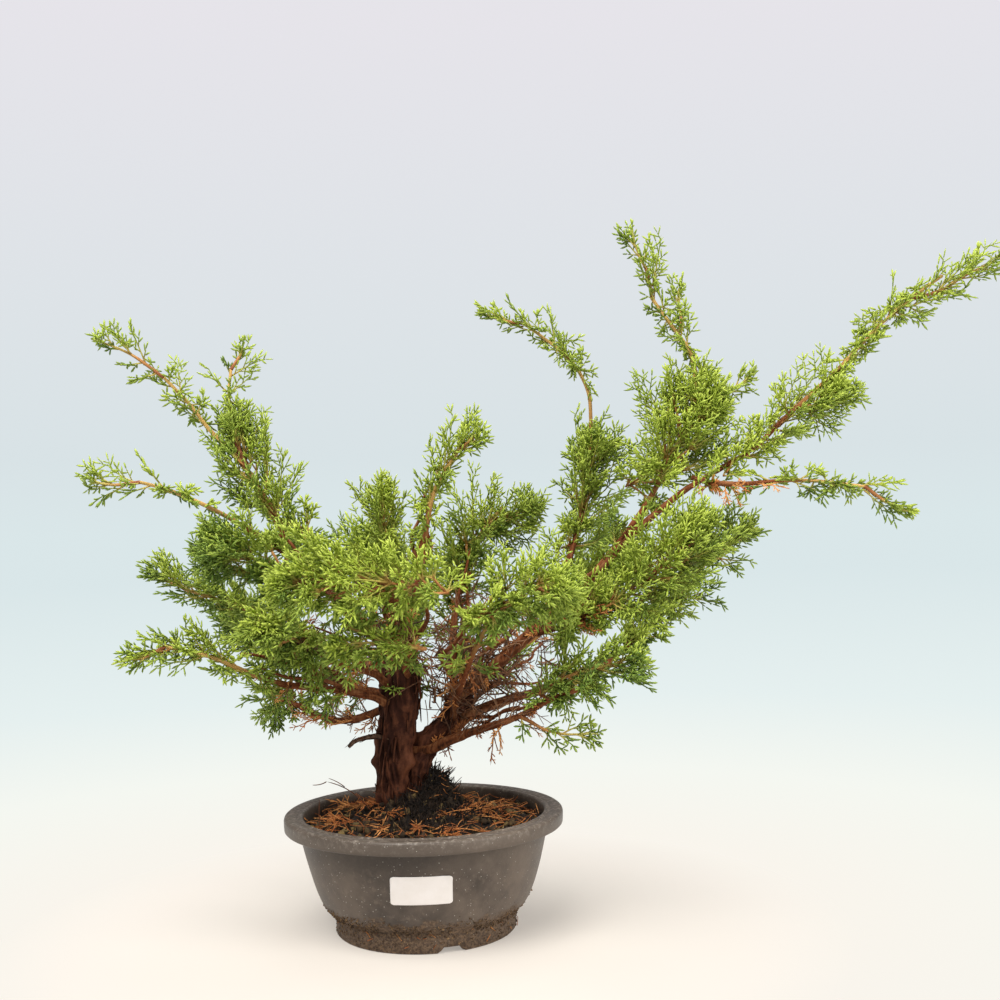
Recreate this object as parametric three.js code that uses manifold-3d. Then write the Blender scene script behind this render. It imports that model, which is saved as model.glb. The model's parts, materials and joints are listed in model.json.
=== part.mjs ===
// A garden juniper in training: a woody trunk with bare limbs that end in plumes of
// scale foliage, standing in soil in a round flanged plastic pot. Millimetres, +Z up,
// origin at the middle of the pot's foot, -Y towards the front of the tree.
import * as THREE from 'three';
import { mergeVertices } from 'three/addons/utils/BufferGeometryUtils.js';
import Module from 'manifold-3d';

// Driving dimensions
const GAP = 0.3; // left between pieces that touch
const POT_HEIGHT = 105;
const RIM_RADIUS = 125.5;
const RIM_BAND = 12; // height of the flange's upright edge
const MOUTH_RADIUS = 108.5;
const WALL = 2.6;
const FOOT_RADIUS = 80.5;
const FOOT_BAND = 19; // height of the straight band above the ground
const SHOULDER = { out: 6, up: 3 }; // step from the foot band to the wall's lowest ring
const WALL_TOP_RADIUS = 112;
const WALL_BULGE = 0.58; // power of the wall's curve: 1 is straight, less bulges more
const WALL_RINGS = 6;
const FOOT_WALL = 3.6;
const FLOOR_LEVEL = 5; // underside of the raised floor
const PAD_RADIUS = 26; // middle pad that reaches the ground
const POT_SIDES = 36;
const NOTCHES = 3; // drain notches round the foot, with a drain hole between each pair
const FIRST_NOTCH_ANGLE = -Math.PI / 2 + 0.26;
const NOTCH = { depth: 30, width: 22, height: 5 };
const DRAIN_HOLE = { radius: 6, fromMiddle: 52 };
const SOIL_DEPTH_BELOW_RIM = 10;
const SOIL_MOUND = 22; // rise of the soil where the trunk enters
const MOUND_AT = [-16, -4];
const MOUND_SPREAD = 45;
const LABEL_WIDTH = 52;
const LABEL_HEIGHT = 25;
const LABEL_THICKNESS = 0.5;
const LABEL_CENTRE = [-4, 60];

const wasm = await Module();
wasm.setup();

/** A closed geometry with its shared corners merged, as a solid for joining and cutting. */
function toSolid(geometry) {
  const bare = geometry.clone();
  bare.deleteAttribute('normal');
  bare.deleteAttribute('uv');
  const merged = mergeVertices(bare, 1e-4);
  return new wasm.Manifold(new wasm.Mesh({
    numProp: 3,
    vertProperties: new Float32Array(merged.attributes.position.array),
    triVerts: new Uint32Array(merged.index.array),
  }));
}

/** A solid back as a geometry. */
function toGeometry(solid) {
  const mesh = solid.getMesh();
  const geometry = new THREE.BufferGeometry();
  geometry.setAttribute('position', new THREE.BufferAttribute(mesh.vertProperties, 3));
  geometry.setIndex(new THREE.BufferAttribute(mesh.triVerts, 1));
  geometry.computeVertexNormals();
  return geometry;
}

/** A closed profile of [radius, height] points turned about the vertical axis. */
function turned(profile, sides = POT_SIDES) {
  const points = profile.map(([radius, height]) => new THREE.Vector2(radius, height));
  return new THREE.LatheGeometry(points, sides).rotateX(Math.PI / 2);
}

/**
 * A round bar bent along a smooth curve through the route's points. radiusAt gives its
 * radius at a share of the length, flat squashes it vertically, and both ends rise to a
 * blunt point.
 */
function alongRoute(route, { steps, sides, radiusAt, flat = 1, grow = 0 }) {
  const curve = new THREE.CatmullRomCurve3(route.map((point) => new THREE.Vector3(...point)));
  const frames = curve.computeFrenetFrames(steps);
  const bar = new THREE.CylinderGeometry(1, 1, 1, sides, steps);
  const corners = bar.attributes.position;
  const up = new THREE.Vector3(0, 0, 1);
  const corner = new THREE.Vector3();
  for (let i = 0; i < corners.count; i += 1) {
    corner.fromBufferAttribute(corners, i);
    const step = Math.round((0.5 - corner.y) * steps);
    const radius = radiusAt(step / steps) + grow;
    const across = frames.normals[step];
    const along = frames.tangents[step];
    const isCapCentre = Math.hypot(corner.x, corner.z) < 0.5;
    const spread = across.clone().multiplyScalar(corner.x);
    spread.addScaledVector(frames.binormals[step], corner.z);
    spread.addScaledVector(up, (flat - 1) * spread.dot(up));
    const place = curve.getPointAt(step / steps).addScaledVector(spread, radius);
    if (isCapCentre) {
      place.addScaledVector(along, (step === 0 ? -1 : 1) * radius * 0.6);
    }
    corners.setXYZ(i, place.x, place.y, place.z);
  }
  return bar;
}

/** The pot's outer and inner outline, turned, with drain notches and holes cut through. */
function makePot() {
  const underRim = POT_HEIGHT - RIM_BAND;
  const outline = [
    [0, 0],
    [PAD_RADIUS, 0],
    [PAD_RADIUS + 1, FLOOR_LEVEL],
    [FOOT_RADIUS - FOOT_WALL, FLOOR_LEVEL],
    [FOOT_RADIUS - FOOT_WALL, 0],
    [FOOT_RADIUS, 0],
    [FOOT_RADIUS + 1, FOOT_BAND],
    ...potWall().map(({ radius, height }) => [radius, height]),
    [RIM_RADIUS - 0.6, underRim],
    [RIM_RADIUS, POT_HEIGHT - 1.5],
    [RIM_RADIUS - 1.5, POT_HEIGHT],
    [MOUTH_RADIUS + 1.5, POT_HEIGHT],
    [MOUTH_RADIUS, POT_HEIGHT - 2],
    ...potWall().reverse().map(({ radius, height }) => [radius - WALL, height]),
    [FOOT_RADIUS - 1.8, FOOT_BAND],
    [FOOT_RADIUS - FOOT_WALL, FLOOR_LEVEL + WALL],
    [0, FLOOR_LEVEL + WALL],
  ];
  let pot = toSolid(turned(outline));
  for (let i = 0; i < NOTCHES; i += 1) {
    const angle = FIRST_NOTCH_ANGLE + (i * 2 * Math.PI) / NOTCHES;
    const notch = new THREE.BoxGeometry(NOTCH.depth, NOTCH.width, 2 * NOTCH.height);
    notch.translate(FOOT_RADIUS, 0, 0).rotateZ(angle);
    const { radius, fromMiddle } = DRAIN_HOLE;
    const hole = new THREE.CylinderGeometry(radius, radius, 4 * FLOOR_LEVEL, 12);
    hole.rotateX(Math.PI / 2).translate(fromMiddle, 0, FLOOR_LEVEL).rotateZ(angle + Math.PI / NOTCHES);
    pot = pot.subtract(toSolid(notch)).subtract(toSolid(hole));
  }
  return toGeometry(pot);
}

/** The wall's outside from the foot's shoulder up to the flange: a bulging quarter curve. */
function potWall() {
  const low = { radius: FOOT_RADIUS + SHOULDER.out, height: FOOT_BAND + SHOULDER.up };
  const high = { radius: WALL_TOP_RADIUS, height: POT_HEIGHT - RIM_BAND };
  return Array.from({ length: WALL_RINGS }, (_, i) => {
    const share = i / (WALL_RINGS - 1);
    return {
      radius: low.radius + (high.radius - low.radius) * share ** WALL_BULGE,
      height: low.height + (high.height - low.height) * share,
    };
  });
}

/** Soil filling the pot to just below the rim, mounded where the trunk stands. */
function makeSoil() {
  const surface = POT_HEIGHT - SOIL_DEPTH_BELOW_RIM;
  const floor = FLOOR_LEVEL + WALL + GAP;
  const wall = potWall().filter(({ height }) => height < surface - 3);
  const outline = [
    [0, floor],
    [FOOT_RADIUS - FOOT_WALL - 0.5, floor],
    [FOOT_RADIUS - 2.6, FOOT_BAND],
    ...wall.map(({ radius, height }) => [radius - WALL - 0.8, height]),
    [MOUTH_RADIUS - 1.2, surface - 2],
    [84, surface],
    [58, surface],
    [32, surface],
    [0, surface],
  ];
  const soil = turned(outline);
  const points = soil.attributes.position;
  for (let i = 0; i < points.count; i += 1) {
    if (points.getZ(i) > surface - 1) {
      const away = Math.hypot(points.getX(i) - MOUND_AT[0], points.getY(i) - MOUND_AT[1]);
      points.setZ(i, surface + SOIL_MOUND * Math.exp(-((away / MOUND_SPREAD) ** 2)));
    }
  }
  return soil;
}

/** A blank paper label bent round the front of the pot's wall. */
function makeLabel() {
  const [x, z] = LABEL_CENTRE;
  const skin = potWall();
  const inner = skin.map(({ radius, height }) => [radius + GAP, height]);
  const outer = skin.map(({ radius, height }) => [radius + GAP + LABEL_THICKNESS, height]);
  const band = toSolid(turned([...outer, ...inner.reverse(), outer[0]]));
  const window = new THREE.BoxGeometry(LABEL_WIDTH, 80, LABEL_HEIGHT).translate(x, -90, z);
  return toGeometry(band.intersect(toSolid(window)));
}

// Woody parts: route through the middle of the wood, radius at the base and at the tip.
const TRUNK_ROUTE = [
  [-26, -4, 50], [-27, -4, 92], [-28, -4, 122], [-27, -4, 146], [-25, -4, 170], [-19, -4, 205],
  [-21, 0, 262],
];
const TRUNK_RADII = [20, 15.5, 13.5, 16, 18.5, 11];
const LIMB_TAPER = 1.6; // power of a limb's thinning: above 1 it thins early
const LIMBS = {
  right_trunk: [12.5, 9.5, [
    [-12, -2, 98], [-9, -1, 126], [-4, 0, 147], [6, 2, 163], [17, 4, 175], [28, 7, 188], [34, 4, 207],
  ]],
  left_leader_limb: [8, 1.5, [
    [-22, 0, 250], [-45, 3, 268], [-72, 5, 296], [-116, 10, 347], [-137, 12, 388],
    [-160, 15, 425], [-187, 12, 453], [-204, 8, 477], [-225, 4, 500],
  ]],
  left_leader_fork: [3.2, 1.4, [
    [-158, 15, 423], [-168, 24, 458], [-172, 30, 487], [-170, 36, 510],
  ]],
  left_middle_limb: [4.5, 1.5, [
    [-70, 4, 294], [-90, -24, 313], [-112, -45, 339], [-144, -55, 361], [-174, -60, 380],
    [-210, -60, 397], [-235, -58, 404],
  ]],
  left_back_limb: [5, 1.5, [
    [-22, 2, 226], [-46, 20, 234], [-75, 36, 247], [-122, 54, 266], [-170, 66, 289], [-222, 75, 306],
  ]],
  left_low_limb: [5, 1.5, [
    [-22, -6, 206], [-50, -26, 213], [-80, -44, 221], [-128, -69, 232], [-175, -85, 257],
    [-210, -90, 266],
  ]],
  left_lowest_limb: [5, 2.2, [
    [-26, 0, 196], [-46, 6, 192], [-66, 12, 185], [-88, 20, 186], [-120, 30, 202], [-136, 35, 204],
  ]],
  left_front_limb: [4, 1.5, [
    [-24, -10, 222], [-52, -33, 236], [-70, -50, 243], [-96, -75, 262], [-124, -96, 280],
  ]],
  left_rear_limb: [4.5, 1.5, [
    [-22, 4, 208], [-44, 24, 210], [-62, 48, 210], [-80, 76, 213], [-102, 108, 219],
    [-126, 138, 228], [-160, 160, 243],
  ]],
  front_limb: [4.5, 1.5, [
    [-20, -8, 238], [-16, -50, 268], [-20, -94, 297], [-45, -124, 313], [-80, -136, 319],
  ]],
  front_low_limb: [3.6, 1.5, [
    [-16, -8, 226], [-14, -46, 243], [-22, -80, 259], [-42, -100, 272], [-64, -108, 281],
  ]],
  centre_limb: [8, 1.5, [
    [-21, 0, 256], [-10, 4, 282], [-3, 8, 312], [6, 8, 348], [15, 5, 394], [40, 0, 430],
  ]],
  spire_limb: [4, 1.5, [[-22, 4, 250], [-24, 30, 284], [-27, 50, 325], [-33, 60, 368]]],
  centre_back_limb: [5, 1.5, [
    [33, 6, 198], [29, 40, 238], [37, 70, 293], [55, 92, 345], [84, 109, 377],
  ]],
  centre_rear_limb: [4.5, 1.5, [[-18, 4, 234], [-15, 58, 248], [-12, 108, 268], [-18, 138, 306]]],
  right_front_limb: [4.5, 1.5, [
    [28, 4, 190], [34, -36, 218], [40, -56, 237], [50, -78, 262], [62, -93, 285], [84, -107, 304],
  ]],
  right_lowest_limb: [6, 1.9, [
    [-4, -3, 154], [16, -13, 165], [42, -28, 177], [68, -42, 186], [94, -56, 198], [114, -71, 212],
    [142, -86, 221],
  ]],
  right_low_limb: [6, 1.9, [
    [28, 7, 180], [64, 35, 192], [113, 56, 201], [163, 71, 213], [195, 80, 233], [230, 88, 262],
    [262, 92, 290],
  ]],
  right_leader_limb: [6.6, 1.5, [
    [34, 3, 204], [66, -4, 232], [96, -8, 258], [132, -10, 286], [160, -8, 314], [204, 0, 366],
    [229, 6, 407], [246, 8, 437], [259, 10, 472], [262, 10, 500], [256, 10, 524], [234, 8, 547],
    [221, 6, 567],
  ]],
  long_limb: [4, 1.4, [
    [152, -9, 306], [176, -12, 330], [208, -16, 362], [256, -20, 397], [303, -24, 421], [336, -26, 453],
    [382, -28, 492], [432, -30, 542], [481, -32, 577],
  ]],
  right_end_limb: [2.8, 1.4, [
    [254, -20, 396], [270, -46, 392], [290, -62, 391], [310, -70, 393], [345, -78, 392], [385, -84, 386],
  ]],
  upright_limb: [4.2, 1.4, [
    [110, -9, 268], [128, 14, 298], [146, 37, 338], [160, 54, 385], [169, 65, 440], [170, 70, 480],
    [165, 73, 505], [142, 75, 529], [108, 77, 556],
  ]],
  right_middle_limb: [3.2, 1.5, [[98, -8, 260], [122, -38, 268], [150, -50, 280], [188, -56, 300]]],
  right_rear_limb: [4.2, 1.5, [
    [33, 8, 196], [60, 50, 214], [100, 94, 238], [142, 128, 266], [182, 147, 303],
  ]],
  dead_stub: [3.6, 1.6, [[-30, -8, 172], [-46, -14, 174], [-58, -16, 172], [-66, -18, 168]]],
};

// Foliage: route through the middle of each plume, and its greatest radius.
const PLUMES = {
  left_leader_tip: [16, [[-188, 12, 448], [-205, 8, 474], [-224, 4, 496], [-252, 0, 522], [-284, -5, 534]]],
  left_leader_side: [16, [[-167, 26, 466], [-169, 31, 488], [-165, 36, 512], [-159, 40, 534]]],
  left_upper_crown: [33, [[-95, 8, 344], [-127, 13, 394], [-151, 16, 434], [-168, 15, 468]]],
  left_middle_tip: [16, [[-172, -61, 370], [-200, -62, 386], [-236, -58, 400], [-282, -55, 405]]],
  left_middle_crown: [38, [[-92, -54, 304], [-130, -66, 330], [-184, -74, 352]]],
  left_back_plume: [25, [[-112, 56, 262], [-150, 66, 276], [-200, 75, 298], [-258, 80, 327]]],
  left_front_plume: [38, [[-80, -82, 248], [-112, -100, 270], [-152, -112, 286]]],
  left_low_plume: [21, [[-124, -72, 226], [-160, -82, 240], [-200, -90, 262], [-242, -95, 252]]],
  left_lowest_plume: [24, [[-106, 30, 210], [-126, 36, 198], [-132, 42, 170]]],
  left_rear_plume: [38, [[-126, 150, 228], [-165, 168, 250], [-200, 178, 284]]],
  front_crown: [38, [[22, -110, 302], [-22, -132, 314], [-68, -142, 320], [-112, -132, 316]]],
  front_lower_plume: [26, [[4, -98, 252], [-34, -112, 266], [-76, -116, 268]]],
  centre_spire: [25, [[-24, 54, 326], [-29, 60, 364], [-38, 64, 400]]],
  centre_leader_plume: [22, [[6, 8, 344], [17, 5, 387], [40, 0, 420], [62, -5, 447]]],
  centre_back_plume: [33, [[40, 62, 292], [58, 88, 334], [88, 104, 362], [119, 117, 379]]],
  centre_rear_plume: [42, [[-12, 112, 258], [-34, 138, 312], [-54, 147, 368]]],
  right_front_crown: [42, [[48, -102, 274], [82, -116, 300], [120, -124, 318]]],
  right_lowest_plume: [27, [[92, -70, 216], [140, -90, 234], [184, -104, 248]]],
  right_low_sprig: [10, [[86, -54, 197], [98, -70, 187], [124, -80, 180], [152, -84, 183]]],
  right_low_crown: [30, [[177, 82, 234], [232, 90, 276], [288, 95, 320], [334, 97, 354]]],
  right_middle_plume: [40, [[126, -56, 262], [172, -64, 290], [214, -68, 326], [250, -66, 364]]],
  right_crown: [45, [[209, 0, 382], [244, 6, 437], [273, 12, 493]]],
  right_leader_side: [14, [[274, 20, 471], [299, 28, 484], [325, 34, 497]]],
  right_leader_tip: [16, [[260, 8, 484], [259, 8, 520], [230, 4, 562], [215, 3, 596], [199, 0, 632]]],
  right_leader_fork: [13, [[256, 20, 540], [250, 24, 562], [247, 26, 590]]],
  long_limb_crown: [28, [[257, -32, 388], [306, -32, 419], [351, -30, 450], [389, -29, 480]]],
  long_limb_tip: [20, [[376, -29, 486], [420, -30, 519], [474, -32, 560], [517, -34, 585], [556, -36, 600]]],
  right_end_plume: [17, [[296, -68, 388], [345, -78, 388], [392, -85, 378], [426, -90, 358]]],
  upright_low_plume: [32, [[138, 36, 330], [160, 54, 378], [174, 64, 420], [168, 68, 450]]],
  upright_tip: [15, [[168, 72, 494], [142, 76, 525], [104, 78, 553], [64, 78, 566]]],
  right_rear_plume: [42, [[146, 134, 262], [184, 150, 308], [216, 162, 352]]],
};

/** How a plume's radius swells: narrow where it leaves the limb, widest early, tapering out. */
function plumeSwell(share) {
  return Math.sin(Math.PI * (0.16 + 0.76 * share)) ** 0.8;
}

/** The radius between listed radii at a share of the length. */
function between(radii, share) {
  const at = share * (radii.length - 1);
  const before = Math.min(Math.floor(at), radii.length - 2);
  return THREE.MathUtils.lerp(radii[before], radii[before + 1], at - before);
}

const group = new THREE.Group();
const placed = []; // each solid so far, grown by the gap, with its box

function addMesh(name, geometry, color, roughness) {
  const material = new THREE.MeshStandardMaterial({ color, roughness, metalness: 0 });
  const mesh = new THREE.Mesh(geometry, material);
  mesh.name = name;
  group.add(mesh);
}

/** Adds a grown piece (wood or foliage), cut back to the gap where it meets earlier ones. */
function addGrown(name, route, shape, color, roughness) {
  let solid = toSolid(alongRoute(route, shape));
  for (const other of placed) {
    solid = solid.subtract(other);
  }
  placed.push(toSolid(alongRoute(route, { ...shape, grow: GAP })));
  addMesh(name, toGeometry(solid), color, roughness);
}

const POT_COLOR = 0x4b4e55;
const LABEL_COLOR = 0xf1e9e4;
const SOIL_COLOR = 0x3a2a1c;
const BARK_COLOR = 0x5a3324;
const LIMB_COLOR = 0x6e3b28;
const FOLIAGE_COLOR = 0x7ba23a;

addMesh('pot', makePot(), POT_COLOR, 0.6);
addMesh('label', makeLabel(), LABEL_COLOR, 0.7);

const trunkShape = { steps: 10, sides: 12, radiusAt: (share) => between(TRUNK_RADII, share) };
addGrown('trunk', TRUNK_ROUTE, trunkShape, BARK_COLOR, 0.9);
const soil = toSolid(makeSoil());
const placedWood = [placed[0]];

for (const [name, [base, tip, route]] of Object.entries(LIMBS)) {
  const radiusAt = (share) => tip + (base - tip) * (1 - share) ** LIMB_TAPER;
  const shape = { steps: route.length + 2, sides: 6, radiusAt };
  addGrown(name, route, shape, LIMB_COLOR, 0.85);
  placedWood.push(placed.at(-1));
}
const cutSoil = placedWood.reduce((left, wood) => left.subtract(wood), soil);
addMesh('soil', toGeometry(cutSoil), SOIL_COLOR, 0.95);

for (const [name, [radius, route]] of Object.entries(PLUMES)) {
  const radiusAt = (share) => radius * plumeSwell(share);
  const shape = { steps: route.length + 3, sides: 7, radiusAt, flat: 0.85 };
  addGrown(name, route, shape, FOLIAGE_COLOR, 0.8);
}

export default group;
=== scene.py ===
"""A juniper bonsai in a round training pot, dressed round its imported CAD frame.

Every place comes from the frame: a limb's or a plume's middle line is read from its CAD solid ring by ring,
and the pot, soil and label are turned to the sizes of their solids. Metres, +Z up, origin in the middle of
the pot's foot.
"""

from __future__ import annotations

import json
import logging
import math
from collections.abc import Sequence
from dataclasses import dataclass, field
from enum import Enum

import bpy
import numpy as np
from mathutils import Matrix, Vector


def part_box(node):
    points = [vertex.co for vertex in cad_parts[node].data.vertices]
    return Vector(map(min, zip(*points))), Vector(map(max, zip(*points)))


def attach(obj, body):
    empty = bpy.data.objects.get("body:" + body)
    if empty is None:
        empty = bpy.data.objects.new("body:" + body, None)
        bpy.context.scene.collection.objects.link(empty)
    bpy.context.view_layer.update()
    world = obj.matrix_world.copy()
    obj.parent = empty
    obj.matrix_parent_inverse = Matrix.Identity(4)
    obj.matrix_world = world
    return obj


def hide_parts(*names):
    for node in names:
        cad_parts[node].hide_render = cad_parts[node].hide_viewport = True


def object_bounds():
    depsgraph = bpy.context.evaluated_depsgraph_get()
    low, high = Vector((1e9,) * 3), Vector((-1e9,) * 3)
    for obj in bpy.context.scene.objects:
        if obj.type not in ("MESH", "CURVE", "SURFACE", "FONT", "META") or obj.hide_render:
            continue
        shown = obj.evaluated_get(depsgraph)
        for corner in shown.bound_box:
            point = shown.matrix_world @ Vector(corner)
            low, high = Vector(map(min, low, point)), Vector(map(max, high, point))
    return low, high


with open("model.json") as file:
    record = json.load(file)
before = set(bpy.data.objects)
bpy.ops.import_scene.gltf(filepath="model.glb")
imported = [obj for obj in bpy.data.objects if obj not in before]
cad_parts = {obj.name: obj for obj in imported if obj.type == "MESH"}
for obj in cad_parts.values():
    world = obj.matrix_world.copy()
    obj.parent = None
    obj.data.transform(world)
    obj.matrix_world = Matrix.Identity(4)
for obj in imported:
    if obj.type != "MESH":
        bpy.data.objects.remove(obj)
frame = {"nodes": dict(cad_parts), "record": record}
CAD_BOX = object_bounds()

LOG = logging.getLogger("juniper")
Array = np.ndarray
Colour = tuple[float, float, float, float]
Numbers = float | np.ndarray
Place = tuple[float, float, float]
Socket = bpy.types.NodeSocket
Span = tuple[float, float]
Draws = np.random.Generator

UP = np.array((0.0, 0.0, 1.0))
GOLDEN_ANGLE = math.pi * (3 - math.sqrt(5))
TRUNK_FOOT = np.array((-0.020, -0.004, 0.060))


# ---- Numbers over whole arrays ----
def unit(vectors: Array) -> Array:
    """Each vector divided by its length."""
    return vectors / np.maximum(np.linalg.norm(vectors, axis=-1, keepdims=True), 1e-12)


def across(axes: Array) -> tuple[Array, Array]:
    """Two unit vectors square to each axis and to each other.

    The first is the axis crossed with +Z, or with +X where the axis is nearly upright; the second is the
    axis crossed with the first.

    Args:
        axes: Unit vectors, shape (..., 3).

    Returns:
        The two vectors, each of the same shape as axes.
    """
    upright = np.abs(axes[..., 2:3]) > 0.9
    aside = np.where(upright, np.array((1.0, 0.0, 0.0)), UP)
    first = unit(np.cross(axes, aside))
    return first, np.cross(axes, first)


def smooth_noise(u: Array, v: Array, cells: tuple[int, int], rng: Draws) -> Array:
    """Lattice noise from -1 to 1, which wraps round in u.

    Random heights stand on a lattice of cells, and a point takes the four round it, blended by s*s*(3 - 2s)
    in each direction.

    Args:
        u: Share of the way round, any real number.
        v: Share of the way along, 0 to 1.
        cells: Lattice cells round and along.
        rng: Source of the heights.

    Returns:
        The noise, of the shape of u and v together.
    """
    heights = rng.uniform(-1, 1, (cells[0], cells[1] + 2))
    x, y = np.broadcast_arrays(u * cells[0], np.clip(v, 0, 1) * cells[1])
    i, j = np.floor(x).astype(int), np.floor(y).astype(int)
    s, t = x - i, y - j
    s, t = s * s * (3 - 2 * s), t * t * (3 - 2 * t)
    i0, i1 = i % cells[0], (i + 1) % cells[0]
    low = heights[i0, j] * (1 - s) + heights[i1, j] * s
    high = heights[i0, j + 1] * (1 - s) + heights[i1, j + 1] * s
    return low * (1 - t) + high * t


def eased(low: float, high: float, values: Array) -> Array:
    """0 below low, 1 above high, and s*s*(3 - 2s) between."""
    share = np.clip((values - low) / (high - low), 0, 1)
    return share * share * (3 - 2 * share)


def around_axis(radius: Numbers, angle: Array, height: Numbers) -> Array:
    """Places round +Z, (r cos a, r sin a, z) along the last axis, with the three spread to one shape."""
    return np.stack(np.broadcast_arrays(radius * np.cos(angle), radius * np.sin(angle), height), axis=-1)


def full_turn(count: int) -> Array:
    """Angles evenly round a full turn, the first at +X."""
    return np.linspace(0, 2 * math.pi, count, endpoint=False)


def facing_any_way(headings: Array, rng: Draws) -> Array:
    """For each heading a unit vector square to it, turned about it at random."""
    return unit(np.cross(headings, rng.normal(0, 1, headings.shape)))


# ---- Routes read from the frame ----
def merged_corners(node: str) -> tuple[Array, Array]:
    """A CAD node's corners, with those in one place merged, and its triangles."""
    mesh = frame["nodes"][node].data
    corners = np.empty(len(mesh.vertices) * 3)
    mesh.vertices.foreach_get("co", corners)
    loops = np.empty(len(mesh.loops), np.int32)
    mesh.loops.foreach_get("vertex_index", loops)
    places, same = np.unique(np.round(corners.reshape(-1, 3) * 1e5), axis=0, return_inverse=True)
    return places * 1e-5, same.ravel()[loops.reshape(-1, 3)]


def walked(places: Array, faces: Array, start: int) -> Array:
    """Length of the shortest walk along edges from a start corner to each corner, by repeated shortening."""
    ends = np.concatenate([faces[:, [0, 1]], faces[:, [1, 2]], faces[:, [2, 0]]])
    ends = np.concatenate([ends, ends[:, ::-1]])
    steps = np.linalg.norm(places[ends[:, 0]] - places[ends[:, 1]], axis=1)
    reach = np.full(len(places), 1e3)
    reach[start] = 0
    while True:
        shorter = reach.copy()
        np.minimum.at(shorter, ends[:, 1], reach[ends[:, 0]] + steps)
        if np.array_equal(shorter, reach):
            return np.where(reach < 1e3, reach, 0.0)
        reach = shorter


def sown_on(places: Array, faces: Array, shares: Array, count: int) -> tuple[Array, Array]:
    """Points sown evenly by area on triangles, each with a share blended from its triangle's corners."""
    rng = np.random.default_rng(3)
    a, b, c = (places[faces[:, k]] for k in range(3))
    area = np.linalg.norm(np.cross(b - a, c - a), axis=1)
    chosen = rng.choice(len(faces), count, p=area / area.sum())
    root, side = np.sqrt(rng.uniform(0, 1, count)), rng.uniform(0, 1, count)
    parts = np.stack([1 - root, root * (1 - side), root * side], axis=1)
    corners = faces[chosen]
    return (places[corners] * parts[..., None]).sum(axis=1), (shares[corners] * parts).sum(axis=1)


@dataclass(frozen=True)
class Route:
    """A middle line from base to tip, with the radius at each of its points."""

    points: Array
    radii: Array

    @classmethod
    def of_node(cls, node: str) -> Route:
        """Reads a bar's middle line from its CAD solid.

        The walk over the solid's edges from one end to the other gives each corner a share s = a / (a + b),
        with a and b its walks to the base and to the tip. Evenly sown points on the faces take their share
        from the corners. The centre at a share is the mean of the points near it, weighted by exp(-((s - s0)
        / w)^2), and the radius is their mean distance from that centre square to the line.

        Args:
            node: Name of the CAD node.

        Returns:
            The route, base first.
        """
        places, faces = merged_corners(node)
        first = int(np.argmax(walked(places, faces, 0)))
        from_first = walked(places, faces, first)
        second = int(np.argmax(from_first))
        from_second = walked(places, faces, second)
        shares = from_first / (from_first + from_second)
        if np.linalg.norm(places[first] - TRUNK_FOOT) > np.linalg.norm(places[second] - TRUNK_FOOT):
            first, second, shares = second, first, 1 - shares
        sown, sown_shares = sown_on(places, faces, shares, 5000)
        knots = int(np.clip(from_first.max() / 0.014, 5, 22))
        at = np.linspace(0, 1, knots)
        weight = np.exp(-(((sown_shares[None] - at[:, None]) / (0.7 / knots)) ** 2))
        weight /= weight.sum(axis=1, keepdims=True)
        centres = weight @ sown
        centres[0], centres[-1] = places[first], places[second]
        tangents = unit(np.gradient(centres, axis=0))
        gap = sown[None] - centres[:, None]
        gap -= (gap * tangents[:, None]).sum(axis=2, keepdims=True) * tangents[:, None]
        radii = (weight * np.linalg.norm(gap, axis=2)).sum(axis=1)
        return cls(centres, radii)

    def length(self) -> float:
        """Length of the line through the points."""
        return float(np.linalg.norm(np.diff(self.points, axis=0), axis=1).sum())

    def at(self, shares: Array) -> tuple[Array, Array, Array]:
        """Points, unit tangents and radii at shares of the length.

        Between two points the place follows a Catmull-Rom cubic, with ends carried on straight; the tangent
        is its derivative, and the radius runs straight from one point's to the next's.

        Args:
            shares: Shares from 0 at the base to 1 at the tip.

        Returns:
            Places (n, 3), tangents (n, 3) and radii (n,).
        """
        p = self.points
        steps = np.linalg.norm(np.diff(p, axis=0), axis=1)
        along = np.concatenate([[0], np.cumsum(steps)])
        where = np.clip(shares, 0, 1) * along[-1]
        i = np.clip(np.searchsorted(along, where, side="right") - 1, 0, len(p) - 2)
        t = ((where - along[i]) / np.maximum(steps[i], 1e-9))[:, None]
        padded = np.concatenate([2 * p[:1] - p[1:2], p, 2 * p[-1:] - p[-2:-1]])
        a, b, c, d = (padded[i + k] for k in range(4))
        e, f, g = 2 * a - 5 * b + 4 * c - d, c - a, 3 * b - 3 * c + d - a
        places = 0.5 * (2 * b + f * t + e * t * t + g * t**3)
        tangents = unit(f + 2 * e * t + 3 * g * t * t)
        return places, tangents, np.interp(where, along, self.radii)

    def reaching_back(self, distance: float) -> Route:
        """The same route carried straight back from its base, so that it starts inside what it grows from."""
        start = self.points[0] - unit(self.points[1] - self.points[0]) * distance
        return Route(np.concatenate([[start], self.points]), np.append(self.radii[1], self.radii))


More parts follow.
